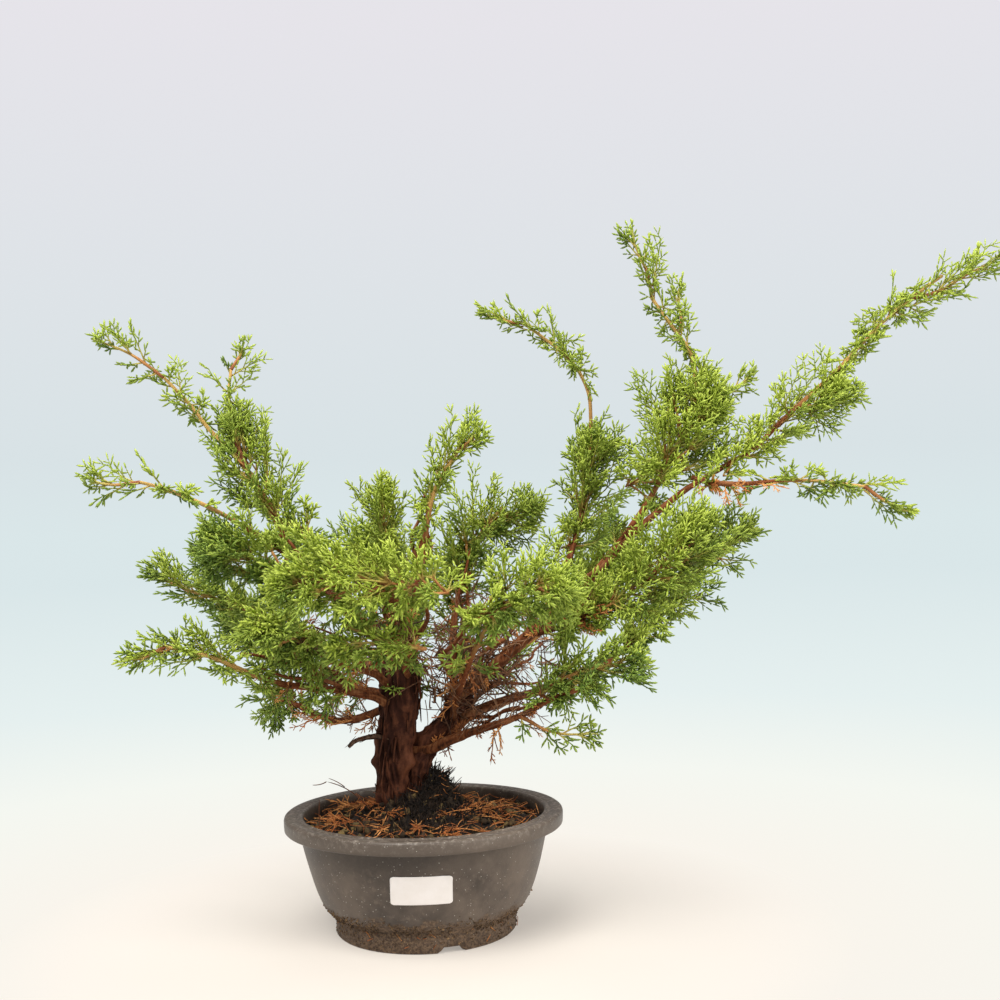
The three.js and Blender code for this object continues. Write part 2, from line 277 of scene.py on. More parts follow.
# ---- Skins: points and triangles ----
@dataclass
class Skin:
    """A surface, with two painted values at each point.

    growth runs from 0, old wood, to 1, a growing tip; the second runs from 0, dark, to 1, light: a tone which
    on foliage and bark also carries painted shade and painted highlight.
    """

    points: Array
    faces: Array
    growth: Array
    tone_and_shade: Array

    @classmethod
    def plain(cls, points: Array, faces: Array) -> Skin:
        """A skin with both painted values at 0."""
        return cls(points, faces, np.zeros(len(points)), np.zeros(len(points)))

    @classmethod
    def joined(cls, skins: Sequence[Skin]) -> Skin:
        """Several skins as one, each face list moved on by the points before it."""
        starts = np.cumsum([0] + [len(s.points) for s in skins[:-1]])
        return cls(
            np.concatenate([s.points for s in skins]),
            np.concatenate([s.faces + start for s, start in zip(skins, starts, strict=True)]),
            np.concatenate([s.growth for s in skins]),
            np.concatenate([s.tone_and_shade for s in skins]),
        )

    def piece(
        self, name: str, material: bpy.types.Material, slot: str, *nodes: str, smooth: bool = True
    ) -> bpy.types.Object:
        """Makes the skin a Blender piece that rides on the root body.

        Args:
            name: Name of the piece.
            material: Its material.
            slot: The record's slot for its finish; not used.
            nodes: CAD nodes that it stands for.
            smooth: Whether faces shade into each other.

        Returns:
            The new object, at the origin.
        """
        mesh = bpy.data.meshes.new(name)
        corners = self.faces.shape[1]
        mesh.vertices.add(len(self.points))
        mesh.vertices.foreach_set("co", self.points.astype(np.float32).ravel())
        mesh.loops.add(self.faces.size)
        mesh.loops.foreach_set("vertex_index", self.faces.astype(np.int32).ravel())
        mesh.polygons.add(len(self.faces))
        mesh.polygons.foreach_set("loop_start", np.arange(len(self.faces), dtype=np.int32) * corners)
        mesh.polygons.foreach_set("use_smooth", np.full(len(self.faces), smooth))
        mesh.update(calc_edges=True)
        for label, values in (("growth", self.growth), ("tone_and_shade", self.tone_and_shade)):
            layer = mesh.attributes.new(label, "FLOAT", "POINT")
            layer.data.foreach_set("value", values.astype(np.float32))
        mesh.materials.append(material)
        piece = bpy.data.objects.new(name, mesh)
        bpy.context.scene.collection.objects.link(piece)
        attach(piece, "root")
        if nodes:
            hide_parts(*nodes)
        LOG.info("%s: %d faces", name, len(self.faces))
        return piece


def painted_map(piece: bpy.types.Object, skin: Skin) -> None:
    """Gives a leafy piece a map laid out by its painted values: growth across, and tone with its painted
    shade up.

    Args:
        piece: The leafy piece.
        skin: The skin that it was made from.
    """
    layer = piece.data.uv_layers.new(name="OFBake")
    nudge = ((np.arange(len(skin.points)) % 3) - 1) * 0.008
    across_map = 0.02 + 0.96 * np.clip(skin.growth, 0, 1)
    up_map = np.clip(0.03 + 0.94 * skin.tone_and_shade + nudge, 0.005, 0.995)
    corners = skin.faces.ravel()
    places = np.stack([across_map[corners], up_map[corners]], axis=1)
    layer.data.foreach_set("uv", places.astype(np.float32).ravel())


def grid_faces(rows: int, columns: int, wrap: bool) -> Array:
    """Quads of a grid of rows by columns points, the last column joined to the first where wrap is true."""
    i, j = np.meshgrid(np.arange(rows - 1), np.arange(columns if wrap else columns - 1), indexing="ij")
    i, j = i.ravel(), j.ravel()
    k = (j + 1) % columns
    return np.stack([i * columns + j, i * columns + k, (i + 1) * columns + k, (i + 1) * columns + j], axis=1)


def as_triangles(quads: Array) -> Array:
    """Each quad as two triangles."""
    return np.concatenate([quads[:, [0, 1, 2]], quads[:, [0, 2, 3]]])


def closed_faces(rings: int, sides: int) -> Array:
    """Triangles of a closed tube: its walls and a fan at each end, to a point before it and a point past it.

    Args:
        rings: Rings along the tube, whose points come first, ring by ring.
        sides: Points round each ring.

    Returns:
        The faces. The fans use the two points that follow the rings' own.
    """
    count = rings * sides
    here = np.arange(sides)
    after = (here + 1) % sides
    last = count - sides
    near = np.stack([after, here, np.full(sides, count)], axis=1)
    far = np.stack([last + here, last + after, np.full(sides, count + 1)], axis=1)
    return np.concatenate([as_triangles(grid_faces(rings, sides, True)), near, far])


def bark_tube(
    route: Route, rings: int, sides: int, relief: float, rng: Draws, growth: float
) -> Skin:
    """A limb's skin: a circle carried along the route, roughened as fibrous bark.

    point(s, a) = centre(s) + r(s) * (1 + relief * bark(a, s)) * (cos a * N + sin a * B), where N is the
    direction that the route turns away from least, made square to the tangent, B = T x N, and bark is ridges
    1 - 2.4 |noise| drawn out along the limb, plus a fine and a broad lot of noise. Both ends close on a
    point.

    Args:
        route: Middle line and radii.
        rings: Rings along it.
        sides: Points round it.
        relief: Depth of the bark as a share of the radius.
        rng: Source of the bark's noise.
        growth: Painted growth at the tip; it is 0 at the base.

    Returns:
        The closed skin.
    """
    shares = np.linspace(0, 1, rings)
    places, tangents, radii = route.at(shares)
    spread = np.linalg.eigh(tangents.T @ tangents)[1][:, 0]
    first = unit(spread - (tangents @ spread)[:, None] * tangents)
    second = np.cross(tangents, first)
    angle = full_turn(sides)
    u, v = angle[None, :] / (2 * math.pi), shares[:, None]
    cells = max(3, int(route.length() / 0.012))
    strands = smooth_noise(u + 0.03 * v * cells, v, (max(5, sides // 4), max(2, cells // 2)), rng)
    bark = (
        0.75 * (1 - 2.4 * np.abs(strands))
        + 0.40 * smooth_noise(u, v, (max(7, sides // 2), 2 * cells), rng)
        + 0.80 * smooth_noise(u, v, (3, max(2, cells // 3)), rng)
    )
    radius = radii[:, None] * (1 + relief * bark)
    ring = (
        places[:, None, :]
        + (radius * np.cos(angle))[..., None] * first[:, None, :]
        + (radius * np.sin(angle))[..., None] * second[:, None, :]
    )
    nose = places[-1] + tangents[-1] * radii[-1] * 0.8
    tail = places[0] - tangents[0] * radii[0] * 0.3
    points = np.concatenate([ring.reshape(-1, 3), [tail], [nose]])
    painted = np.concatenate([np.repeat(shares * growth, sides), [0.0, growth]])
    # Painted shade and highlight: the bark's relief is kept as its tone, darker where it is sunk and lighter
    # where it stands out.
    shade = np.concatenate([0.5 + 0.35 * np.broadcast_to(bark, (rings, sides)).ravel(), [0.5, 0.5]])
    return Skin(points, closed_faces(rings, sides), painted, shade)


def blunt_fingers(
    start: Array, axis: Array, length: Array, radius: Array, growth: tuple[Array, Array], tone_and_shade: Array
) -> Skin:
    """Many stubby three-sided fingers, each of eight points and twelve faces.

    Each has its foot at start and its tip at start + length * axis, with a ring of 0.75 r at a sixth of its
    length and one of r at two thirds, the second turned by half a side.

    Args:
        start: Feet (n, 3).
        axis: Unit directions (n, 3).
        length: Lengths (n,).
        radius: Radii r (n,).
        growth: Painted growth at the foot and at the tip, each (n,).
        tone_and_shade: Painted vigour of each.

    Returns:
        All of them as one skin.
    """
    count = len(start)
    first, second = across(axis)
    rings = []
    for place, share, twist in ((0.16, 0.75, 0.0), (0.67, 1.0, math.pi / 3)):
        turn = 2 * math.pi * np.arange(3) / 3 + twist
        around = np.cos(turn)[None, :, None] * first[:, None] + np.sin(turn)[None, :, None] * second[:, None]
        centre = start + axis * (place * length)[:, None]
        rings.append(centre[:, None] + (share * radius)[:, None, None] * around)
    tip = start + axis * length[:, None]
    points = np.concatenate([start[:, None], *rings, tip[:, None]], axis=1)
    pattern = np.array(
        [(0, 2, 1), (0, 3, 2), (0, 1, 3), (1, 2, 4), (2, 5, 4), (2, 3, 5), (3, 6, 5), (3, 1, 6), (1, 4, 6)]
        + [(7, 4, 5), (7, 5, 6), (7, 6, 4)]
    )
    faces = (pattern[None] + 8 * np.arange(count)[:, None, None]).reshape(-1, 3)
    low, high = growth
    span = np.array([0, 0.16, 0.16, 0.16, 0.67, 0.67, 0.67, 1.0])
    painted = low[:, None] + (high - low)[:, None] * span
    return Skin(points.reshape(-1, 3), faces, painted.ravel(), np.repeat(tone_and_shade, 8))


def bent_cords(
    start: Array,
    middle: Array,
    end: Array,
    radius: tuple[Numbers, Numbers],
    rings: int,
    growth: tuple[Numbers, Numbers],
    tone_and_shade: Array,
) -> Skin:
    """Many tapering three-sided cords, each bent along a curve of two ends and one control point.

    centre(t) = (1-t)^2 start + 2t(1-t) middle + t^2 end, with a triangle of radius r0 + (r1 - r0) t round
    it, square to the straight line from start to end; the tip closes on a point and the foot on a face.

    Args:
        start: Feet (n, 3).
        middle: Control points (n, 3).
        end: Tips (n, 3).
        radius: Radii at the foot and at the tip, each (n,) or one number for all.
        rings: Rings along each cord.
        growth: Painted growth at the foot and at the tip, each (n,) or one number for all.
        tone_and_shade: Painted vigour of each.

    Returns:
        All of them as one skin.
    """
    count = len(start)
    thick_foot, thick_tip, low, high = (np.broadcast_to(value, (count,)) for value in (*radius, *growth))
    t = np.linspace(0, 0.9, rings)[None, :, None]
    centre = (1 - t) ** 2 * start[:, None] + 2 * t * (1 - t) * middle[:, None] + t * t * end[:, None]
    first, second = across(unit(end - start))
    turn = 2 * math.pi * np.arange(3) / 3
    around = np.cos(turn)[None, :, None] * first[:, None] + np.sin(turn)[None, :, None] * second[:, None]
    thick = thick_foot[:, None] + (thick_tip - thick_foot)[:, None] * t[..., 0]
    ring = centre[:, :, None, :] + thick[:, :, None, None] * around[:, None]
    points = np.concatenate([ring.reshape(count, rings * 3, 3), end[:, None]], axis=1)
    i, j = np.meshgrid(np.arange(rings - 1), np.arange(3), indexing="ij")
    a, b = (3 * i + j).ravel(), (3 * i + (j + 1) % 3).ravel()
    walls = np.concatenate([np.stack([a, b, b + 3], axis=1), np.stack([a, b + 3, a + 3], axis=1)])
    last = 3 * (rings - 1)
    tip = np.array([(last + k, last + (k + 1) % 3, 3 * rings) for k in range(3)])
    pattern = np.concatenate([walls, tip, [(0, 2, 1)]])
    size = 3 * rings + 1
    faces = (pattern[None] + size * np.arange(count)[:, None, None]).reshape(-1, 3)
    share = np.concatenate([np.repeat(t[0, :, 0], 3), [1.0]])[None, :]
    painted = low[:, None] + (high - low)[:, None] * share
    return Skin(points.reshape(-1, 3), faces, painted.ravel(), np.repeat(tone_and_shade, size))


def lumps(centres: Array, sizes: Array, tone_and_shade: Array, rng: Draws) -> Skin:
    """Many small rough stones.

    Each is an octahedron with its six corners at 0.62 to 1.25 of its size from the middle, then stretched by
    0.7 to 1.2 along each axis and turned any way.

    Args:
        centres: Middles (n, 3).
        sizes: Half widths (n,).
        tone_and_shade: Painted vigour of each.
        rng: Source of the differences.

    Returns:
        All of them as one skin.
    """
    count = len(centres)
    corners = np.array([(1, 0, 0), (-1, 0, 0), (0, 1, 0), (0, -1, 0), (0, 0, 1), (0, 0, -1)], float)
    above = [(0, 2, 4), (2, 1, 4), (1, 3, 4), (3, 0, 4)]
    pattern = np.array([*above, *((b, a, 5) for a, b, _ in above)])
    turned = np.linalg.qr(rng.normal(size=(count, 3, 3)))[0]
    turned *= np.sign(np.linalg.det(turned))[:, None, None]
    rough = corners[None] * rng.uniform(0.62, 1.25, (count, 6, 1)) * sizes[:, None, None]
    rough *= rng.uniform(0.7, 1.2, (count, 1, 3))
    points = centres[:, None] + np.einsum("nij,nkj->nki", turned, rough)
    faces = (pattern[None] + 6 * np.arange(count)[:, None, None]).reshape(-1, 3)
    return Skin(points.reshape(-1, 3), faces, rng.uniform(0, 1, count * 6), np.repeat(tone_and_shade, 6))


# ---- Shader graphs and shared effects ----
class Graph:
    """A node tree with short calls to add nodes and join them."""

    def __init__(self, tree: bpy.types.NodeTree) -> None:
        """Keeps the tree."""
        self.tree = tree

    def add(self, kind: str, **values: object) -> bpy.types.Node:
        """Adds a node of a kind, such as TexNoise.

        Args:
            kind: The node's class name without ShaderNode.
            values: Node settings by name, or input values by the input's name with spaces as underscores.

        Returns:
            The new node.
        """
        node = self.tree.nodes.new("ShaderNode" + kind)
        for name, value in values.items():
            socket = node.inputs.get(name.replace("_", " "))
            if hasattr(node, name):
                setattr(node, name, value)
            elif isinstance(value, Socket):
                self.tree.links.new(value, socket)
            else:
                socket.default_value = value
        return node

    def join(self, source: Socket, target: Socket) -> None:
        """Joins an output to an input."""
        self.tree.links.new(source, target)

    def painted(self, name: str) -> Socket:
        """A value painted on the points."""
        return self.add("Attribute", attribute_name=name).outputs["Fac"]

    def ramp(self, value: Socket, stops: Sequence[tuple[float, Colour]]) -> Socket:
        """A colour that runs through stops as value goes from 0 to 1."""
        node = self.add("ValToRGB", Fac=value)
        points = node.color_ramp.elements
        while len(points) < len(stops):
            points.new(0.5)
        for point, (place, colour) in zip(points, stops, strict=True):
            point.position, point.color = place, colour
        return node.outputs["Color"]

    def blend(self, share: Socket, low: object, high: object, mode: str = "MIX") -> Socket:
        """Two colours blended by a share, each a socket or a fixed colour."""
        node = self.add("Mix", data_type="RGBA", blend_type=mode)
        self.join(share, node.inputs[0])
        for socket, colour in ((node.inputs[6], low), (node.inputs[7], high)):
            if isinstance(colour, Socket):
                self.join(colour, socket)
            else:
                socket.default_value = colour
        return node.outputs[2]

    def span(self, value: Socket, inner: Span, outer: Span = (0.0, 1.0)) -> Socket:
        """A number carried from one range to another, 0 to 1 where none is given, and held inside it."""
        node = self.add("MapRange")
        self.join(value, node.inputs["Value"])
        for name, number in zip(("From Min", "From Max", "To Min", "To Max"), (*inner, *outer), strict=True):
            node.inputs[name].default_value = number
        return node.outputs["Result"]

    def maths(self, operation: str, first: object, second: object) -> Socket:
        """One sum on two numbers, each a socket or fixed."""
        node = self.add("Math", operation=operation)
        for socket, number in zip(node.inputs, (first, second), strict=False):
            if isinstance(number, Socket):
                self.join(number, socket)
            else:
                socket.default_value = number
        return node.outputs[0]


class Effect(Enum):
    """Shader node groups that several finishes share."""

    MOTTLE = "mottle"
    FIBRES = "fibres"
    DUST = "dust"

    def group(self) -> bpy.types.NodeTree:
        """The effect's node group, built on first use.

        Mottle is cloudy noise with a finer lot on top. Fibres is noise drawn out along the third axis. Dust
        is a mask of fine grains, thicker on faces that look up.

        Returns:
            The group, with inputs Vector and Scale and output Value.
        """
        found = bpy.data.node_groups.get(self.value)
        if found:
            return found
        tree = bpy.data.node_groups.new(self.value, "ShaderNodeTree")
        tree.interface.new_socket("Vector", in_out="INPUT", socket_type="NodeSocketVector")
        scale = tree.interface.new_socket("Scale", in_out="INPUT", socket_type="NodeSocketFloat")
        scale.default_value = 50.0
        tree.interface.new_socket("Value", in_out="OUTPUT", socket_type="NodeSocketFloat")
        graph = Graph(tree)
        entry = tree.nodes.new("NodeGroupInput")
        leave = tree.nodes.new("NodeGroupOutput")
        place, size = entry.outputs["Vector"], entry.outputs["Scale"]
        graph.join(getattr(self, f"_{self.value}")(graph, place, size), leave.inputs["Value"])
        return tree

    def _mottle(self, graph: Graph, place: Socket, size: Socket) -> Socket:
        """Cloudy noise plus a third as much at five times the scale."""
        broad = graph.add("TexNoise", Vector=place, Scale=size, Detail=4.0, Roughness=0.55)
        fine = graph.add("TexNoise", Vector=place, Scale=graph.maths("MULTIPLY", size, 5.0), Detail=3.0)
        both = graph.maths("ADD", broad.outputs["Fac"], graph.maths("MULTIPLY", fine.outputs["Fac"], 0.35))
        return graph.span(both, (0.4, 0.95))

    def _fibres(self, graph: Graph, place: Socket, size: Socket) -> Socket:
        """Noise on a space squashed to an eighth along the third axis."""
        drawn = graph.add("Mapping", Vector=place)
        drawn.inputs["Scale"].default_value = (1.0, 1.0, 0.12)
        stretched = drawn.outputs["Vector"]
        strands = graph.add("TexNoise", Vector=stretched, Scale=size, Detail=5.0, Roughness=0.65)
        return graph.span(strands.outputs["Fac"], (0.34, 0.68))

    def _dust(self, graph: Graph, place: Socket, size: Socket) -> Socket:
        """Fine noise times the upward part of the face's direction."""
        grains = graph.add("TexNoise", Vector=place, Scale=size, Detail=6.0, Roughness=0.7)
        facing = graph.add("SeparateXYZ", Vector=graph.add("NewGeometry").outputs["Normal"])
        upward = graph.span(facing.outputs["Z"], (-0.3, 1.0), (0.15, 1.0))
        return graph.maths("MULTIPLY", graph.span(grains.outputs["Fac"], (0.5, 0.72)), upward)

    def placed(self, graph: Graph, scale: float) -> Socket:
        """Places the effect in a material and returns its value.

        Args:
            graph: The material's graph.
            scale: Scale of the pattern over the object's own coordinates, in waves a metre.

        Returns:
            The effect's value socket.
        """
        node = graph.add("Group", node_tree=self.group())
        node.inputs["Scale"].default_value = scale
        graph.join(graph.add("TexCoord").outputs["Object"], node.inputs["Vector"])
        return node.outputs["Value"]


def started(name: str, roughness: float) -> tuple[bpy.types.Material, Graph, bpy.types.Node]:
    """A new material with its graph and its Principled shader."""
    material = bpy.data.materials.new(name)
    material.use_nodes = True
    graph = Graph(material.node_tree)
    shader = material.node_tree.nodes["Principled BSDF"]
    shader.inputs["Roughness"].default_value = roughness
    return material, graph, shader


def bumped(graph: Graph, shader: bpy.types.Node, height: Socket, strength: float, depth: float) -> None:
    """Joins a height to the shader through a Bump node."""
    bump = graph.add("Bump", Height=height, Strength=strength, Distance=depth)
    graph.join(bump.outputs["Normal"], shader.inputs["Normal"])


# ---- Finishes ----
@dataclass(frozen=True)
class FoliageFinish:
    """Scale foliage: orange-tan twigs, green scales and yellow-green tips, darker where the painted tone is
    low, which is partly painted shade.
    """

    name: str = "scale_foliage"
    wood: Colour = (0.230, 0.066, 0.022, 1)
    twig: Colour = (0.440, 0.200, 0.060, 1)
    stem: Colour = (0.440, 0.400, 0.085, 1)
    shaded: tuple[Colour, Colour] = ((0.084, 0.146, 0.018, 1), (0.222, 0.318, 0.046, 1))
    sunny: tuple[Colour, Colour] = ((0.290, 0.374, 0.030, 1), (0.520, 0.615, 0.096, 1))
    roughness: float = 0.55

    def material(self) -> bpy.types.Material:
        """Two colour runs over growth, a shaded one and a sunlit one, blended by the painted tone and shade
        and a little mottle: painted light and shade.
        """
        material, graph, shader = started(self.name, self.roughness)
        shader.inputs["Specular IOR Level"].default_value = 0.3
        growth = graph.painted("growth")
        tone_and_shade = graph.painted("tone_and_shade")
        mottle = Effect.MOTTLE.placed(graph, 90.0)
        shaded_run = graph.ramp(growth, self.stops(self.shaded))
        sunlit_run = graph.ramp(growth, self.stops(self.sunny))
        share = graph.maths("ADD", tone_and_shade, graph.span(mottle, (0.0, 1.0), (-0.12, 0.12)))
        # Painted light and shade: the painted tone blends the shaded run of colours into the sunlit one.
        colour = graph.blend(graph.span(share, (0.0, 1.0)), shaded_run, sunlit_run)
        graph.join(colour, shader.inputs["Base Color"])
        satin = (self.roughness - 0.08, self.roughness + 0.1)
        graph.join(graph.span(mottle, (0.0, 1.0), satin), shader.inputs["Roughness"])
        return material

    def stops(self, greens: tuple[Colour, Colour]) -> list[tuple[float, Colour]]:
        """Colours from twig to tip."""
        low, high = greens
        return [(0.0, self.wood), (0.15, self.twig), (0.32, self.stem), (0.50, low), (0.68, low), (1.0, high)]


@dataclass(frozen=True)
class BarkFinish:
    """Fibrous bark: dark furrows, red-brown strands and grey-tan edges where it flakes."""

    name: str
    furrow: Colour = (0.010, 0.0035, 0.002, 1)
    strand: Colour = (0.062, 0.020, 0.010, 1)
    flake: Colour = (0.190, 0.085, 0.050, 1)
    young: Colour = (0.250, 0.068, 0.022, 1)
    shoot: Colour = (0.520, 0.325, 0.100, 1)
    scale: float = 260.0
    depth: float = 0.0011
    roughness: float = 0.85
    patchy: float = 0.0

    def material(self) -> bpy.types.Material:
        """Fibres or patches over the painted relief, darker where the bark is sunk and lighter where it
        stands out, partly the bark's own colour and partly painted shade and highlight; the colour runs with
        growth to young bark and a yellow shoot.
        """
        material, graph, shader = started(self.name, self.roughness)
        shader.inputs["Specular IOR Level"].default_value = 0.2
        relief = graph.painted("tone_and_shade")
        growth = graph.painted("growth")
        fibres = Effect.FIBRES.placed(graph, self.scale)
        mottle = Effect.MOTTLE.placed(graph, 45.0)
        patches = graph.maths("MULTIPLY", Effect.MOTTLE.placed(graph, self.scale * 0.8), 0.55 * self.patchy)
        texture = graph.maths("ADD", graph.maths("MULTIPLY", fibres, 0.55 * (1 - self.patchy)), patches)
        # Painted shade and highlight: the relief darkens sunk bark and lightens raised bark.
        mixed = graph.maths("ADD", texture, graph.maths("MULTIPLY", relief, 0.6))
        bark = graph.ramp(mixed, [(0.18, self.furrow), (0.52, self.strand), (0.95, self.flake)])
        stained = graph.blend(graph.span(mottle, (0.2, 1.0), (0.0, 0.4)), bark, self.strand)
        colour = graph.blend(graph.span(growth, (0.1, 0.8), (0.0, 0.85)), stained, self.young)
        colour = graph.blend(graph.span(growth, (0.60, 0.92)), colour, self.shoot)
        graph.join(colour, shader.inputs["Base Color"])
        graph.join(graph.span(mixed, (0.2, 0.9), (0.95, 0.7)), shader.inputs["Roughness"])
        bumped(graph, shader, mixed, 0.8, self.depth)
        return material


@dataclass(frozen=True)
class SoilFinish:
    """Soil, grains and litter: near-black earth to olive-brown clay, picked by vigour."""

    name: str
    stops: tuple[tuple[float, Colour], ...]
    roughness: float = 0.92
    scale: float = 420.0
    depth: float = 0.0008
    stain: float = 0.55
    wet: Colour = (0.012, 0.008, 0.006, 1)

    def material(self) -> bpy.types.Material:
        """A colour run over vigour, darkened in patches by the stain's share, with a grainy bump."""
        material, graph, shader = started(self.name, self.roughness)
        tone_and_shade = graph.painted("tone_and_shade")
        mottle = Effect.MOTTLE.placed(graph, self.scale)
        share = graph.maths("ADD", tone_and_shade, graph.span(mottle, (0.0, 1.0), (-0.16, 0.16)))
        base = graph.ramp(share, self.stops)
        patches = graph.span(Effect.MOTTLE.placed(graph, 70.0), (0.25, 0.9), (self.stain, 0.0))
        graph.join(graph.blend(patches, base, self.wet, "MULTIPLY"), shader.inputs["Base Color"])
        graph.join(graph.span(mottle, (0.0, 1.0), (0.78, 1.0)), shader.inputs["Roughness"])
        bumped(graph, shader, mottle, 0.7, self.depth)
        return material


@dataclass(frozen=True)
class PotFinish:
    """Dark grey moulded plastic: chalky scuffs, pale specks, dust on the rim and earth dried on the foot,
    with painted shadow under the flange and painted light on the sides and the flange's top.
    """

    name: str = "pot_plastic"
    plastic: Colour = (0.050, 0.0385, 0.0315, 1)
    worn_and_lit: Colour = (0.180, 0.139, 0.107, 1)
    dust: Colour = (0.380, 0.330, 0.280, 1)
    speck: Colour = (0.55, 0.52, 0.46, 1)
    earth: Colour = (0.058, 0.030, 0.014, 1)
    moss: Colour = (0.230, 0.142, 0.078, 1)
    dirt_top: float = 0.027

    def material(self) -> bpy.types.Material:
        """Plastic, then scuffs, painted shadow and light, specks, dust and dried earth laid over it."""
        material, graph, shader = started(self.name, 0.5)
        shader.inputs["Specular IOR Level"].default_value = 0.35
        place = graph.add("TexCoord").outputs["Object"]
        along = graph.add("SeparateXYZ", Vector=place)
        height = along.outputs["Z"]
        clouds = Effect.MOTTLE.placed(graph, 22.0)
        scuffs = Effect.MOTTLE.placed(graph, 160.0)
        colour = graph.blend(graph.span(clouds, (0.2, 1.0), (0.0, 0.55)), self.plastic, self.worn_and_lit)
        colour = graph.blend(graph.span(scuffs, (0.62, 1.0), (0.0, 0.5)), colour, self.worn_and_lit)
        # Painted shadow: the wall goes back to the plain dark plastic just under the flange.
        shadowed = graph.span(height, (0.062, 0.090), (0.0, 0.8))
        colour = graph.blend(shadowed, colour, self.plastic)
        # Painted light: the wall is lighter towards its sides, away from x = -0.03, laid on as patchy worn
        # colour.
        aside = graph.maths("ABSOLUTE", graph.maths("ADD", along.outputs["X"], 0.03), 0.0)
        painted_side_light = graph.maths("MULTIPLY", graph.span(aside, (0.02, 0.12), (0.0, 0.75)), clouds)
        colour = graph.blend(painted_side_light, colour, self.worn_and_lit)
        # Painted light: the flange's top is lighter, as lit from above.
        colour = graph.blend(graph.span(height, (0.0915, 0.094), (0.0, 0.30)), colour, self.worn_and_lit)
        cells = graph.add("TexVoronoi", Vector=place, Scale=430.0)
        dots = graph.span(cells.outputs["Distance"], (0.10, 0.17), (1.0, 0.0))
        lot = graph.add("SeparateColor", Color=cells.outputs["Color"]).outputs[0]
        chosen = graph.span(lot, (0.74, 0.78))
        colour = graph.blend(graph.maths("MULTIPLY", dots, chosen), colour, self.speck)
        dust = Effect.DUST.placed(graph, 240.0)
        on_rim = graph.span(height, (0.090, 0.105), (0.22, 1.0))
        colour = graph.blend(graph.maths("MULTIPLY", dust, on_rim), colour, self.dust)
        edge = graph.add("TexNoise", Vector=place, Scale=45.0, Detail=6.0, Roughness=0.7).outputs["Fac"]
        ragged = graph.maths("ADD", height, graph.span(edge, (0.3, 0.7), (-0.009, 0.009)))
        dirt = graph.span(ragged, (self.dirt_top - 0.003, self.dirt_top + 0.003), (0.58, 0.0))
        gritty = graph.span(Effect.MOTTLE.placed(graph, 420.0), (0.35, 0.75))
        soil = graph.blend(gritty, self.earth, self.moss)
        colour = graph.blend(dirt, colour, soil)
        graph.join(colour, shader.inputs["Base Color"])
        satin = graph.span(clouds, (0.0, 1.0), (0.38, 0.5))
        rough = graph.maths("ADD", satin, graph.maths("MULTIPLY", dirt, 0.42))
        graph.join(rough, shader.inputs["Roughness"])
        grain = graph.add("TexNoise", Vector=place, Scale=900.0, Detail=2.0).outputs["Fac"]
        crust = graph.maths("MULTIPLY", graph.maths("MULTIPLY", scuffs, dirt), 6.0)
        bumped(graph, shader, graph.maths("ADD", grain, crust), 0.35, 0.0005)
        return material


@dataclass(frozen=True)
class PaperFinish:
    """Satin label paper, very faintly cloudy."""

    name: str = "label_paper"
    paper: Colour = (0.84, 0.80, 0.78, 1)
    aged: Colour = (0.76, 0.71, 0.67, 1)

    def material(self) -> bpy.types.Material:
        """Two close whites with a slight fibre bump."""
        material, graph, shader = started(self.name, 0.42)
        mottle = Effect.MOTTLE.placed(graph, 60.0)
        tint = graph.blend(graph.span(mottle, (0.2, 1.0), (0.0, 0.6)), self.paper, self.aged)
        graph.join(tint, shader.inputs["Base Color"])
        bumped(graph, shader, Effect.FIBRES.placed(graph, 1500.0), 0.08, 0.0002)
        return material


@dataclass(frozen=True)
class StudioFinish:
    """A matte cream floor that takes on a glow of its own with distance, up to the horizon's tint."""

    name: str = "studio_floor"
    near: Colour = (0.76, 0.70, 0.63, 1)
    glow: Colour = (0.965, 0.905, 0.830, 1)
    further: Colour = (0.910, 0.932, 0.880, 1)
    middle: Colour = (0.790, 0.870, 0.865, 1)
    horizon: Colour = (0.700, 0.795, 0.812, 1)
    fade: Span = (0.125, 0.38)
    halving: float = 1.2
    lift: float = 0.35

    def material(self) -> bpy.types.Material:
        """Cream near the pot, blended by distance into a glow tinted by nearness, h / (distance + h)."""
        material, graph, shader = started(self.name, 0.85)
        place = graph.add("TexCoord").outputs["Object"]
        away = graph.add("VectorMath", operation="LENGTH", Vector=place).outputs["Value"]
        # Painted light: the glow takes over from 0.125 m out and keeps a share lift even beside the pot,
        # which fills the pot's cast shadow on the floor.
        far = graph.span(away, self.fade, (self.lift, 1.0))
        nearness = graph.maths("DIVIDE", self.halving, graph.maths("ADD", away, self.halving))
        tints = (self.horizon, self.middle, self.further, self.glow, self.glow)
        glow = graph.ramp(nearness, list(zip((0.12, 0.42, 0.60, 0.82, 1.0), tints, strict=True)))
        black = (0.0, 0.0, 0.0, 1.0)
        graph.join(graph.blend(far, self.near, black), shader.inputs["Base Color"])
        graph.join(graph.blend(far, black, glow), shader.inputs["Emission Color"])
        shader.inputs["Emission Strength"].default_value = 1.0
        shader.inputs["Specular IOR Level"].default_value = 0.0
        return material


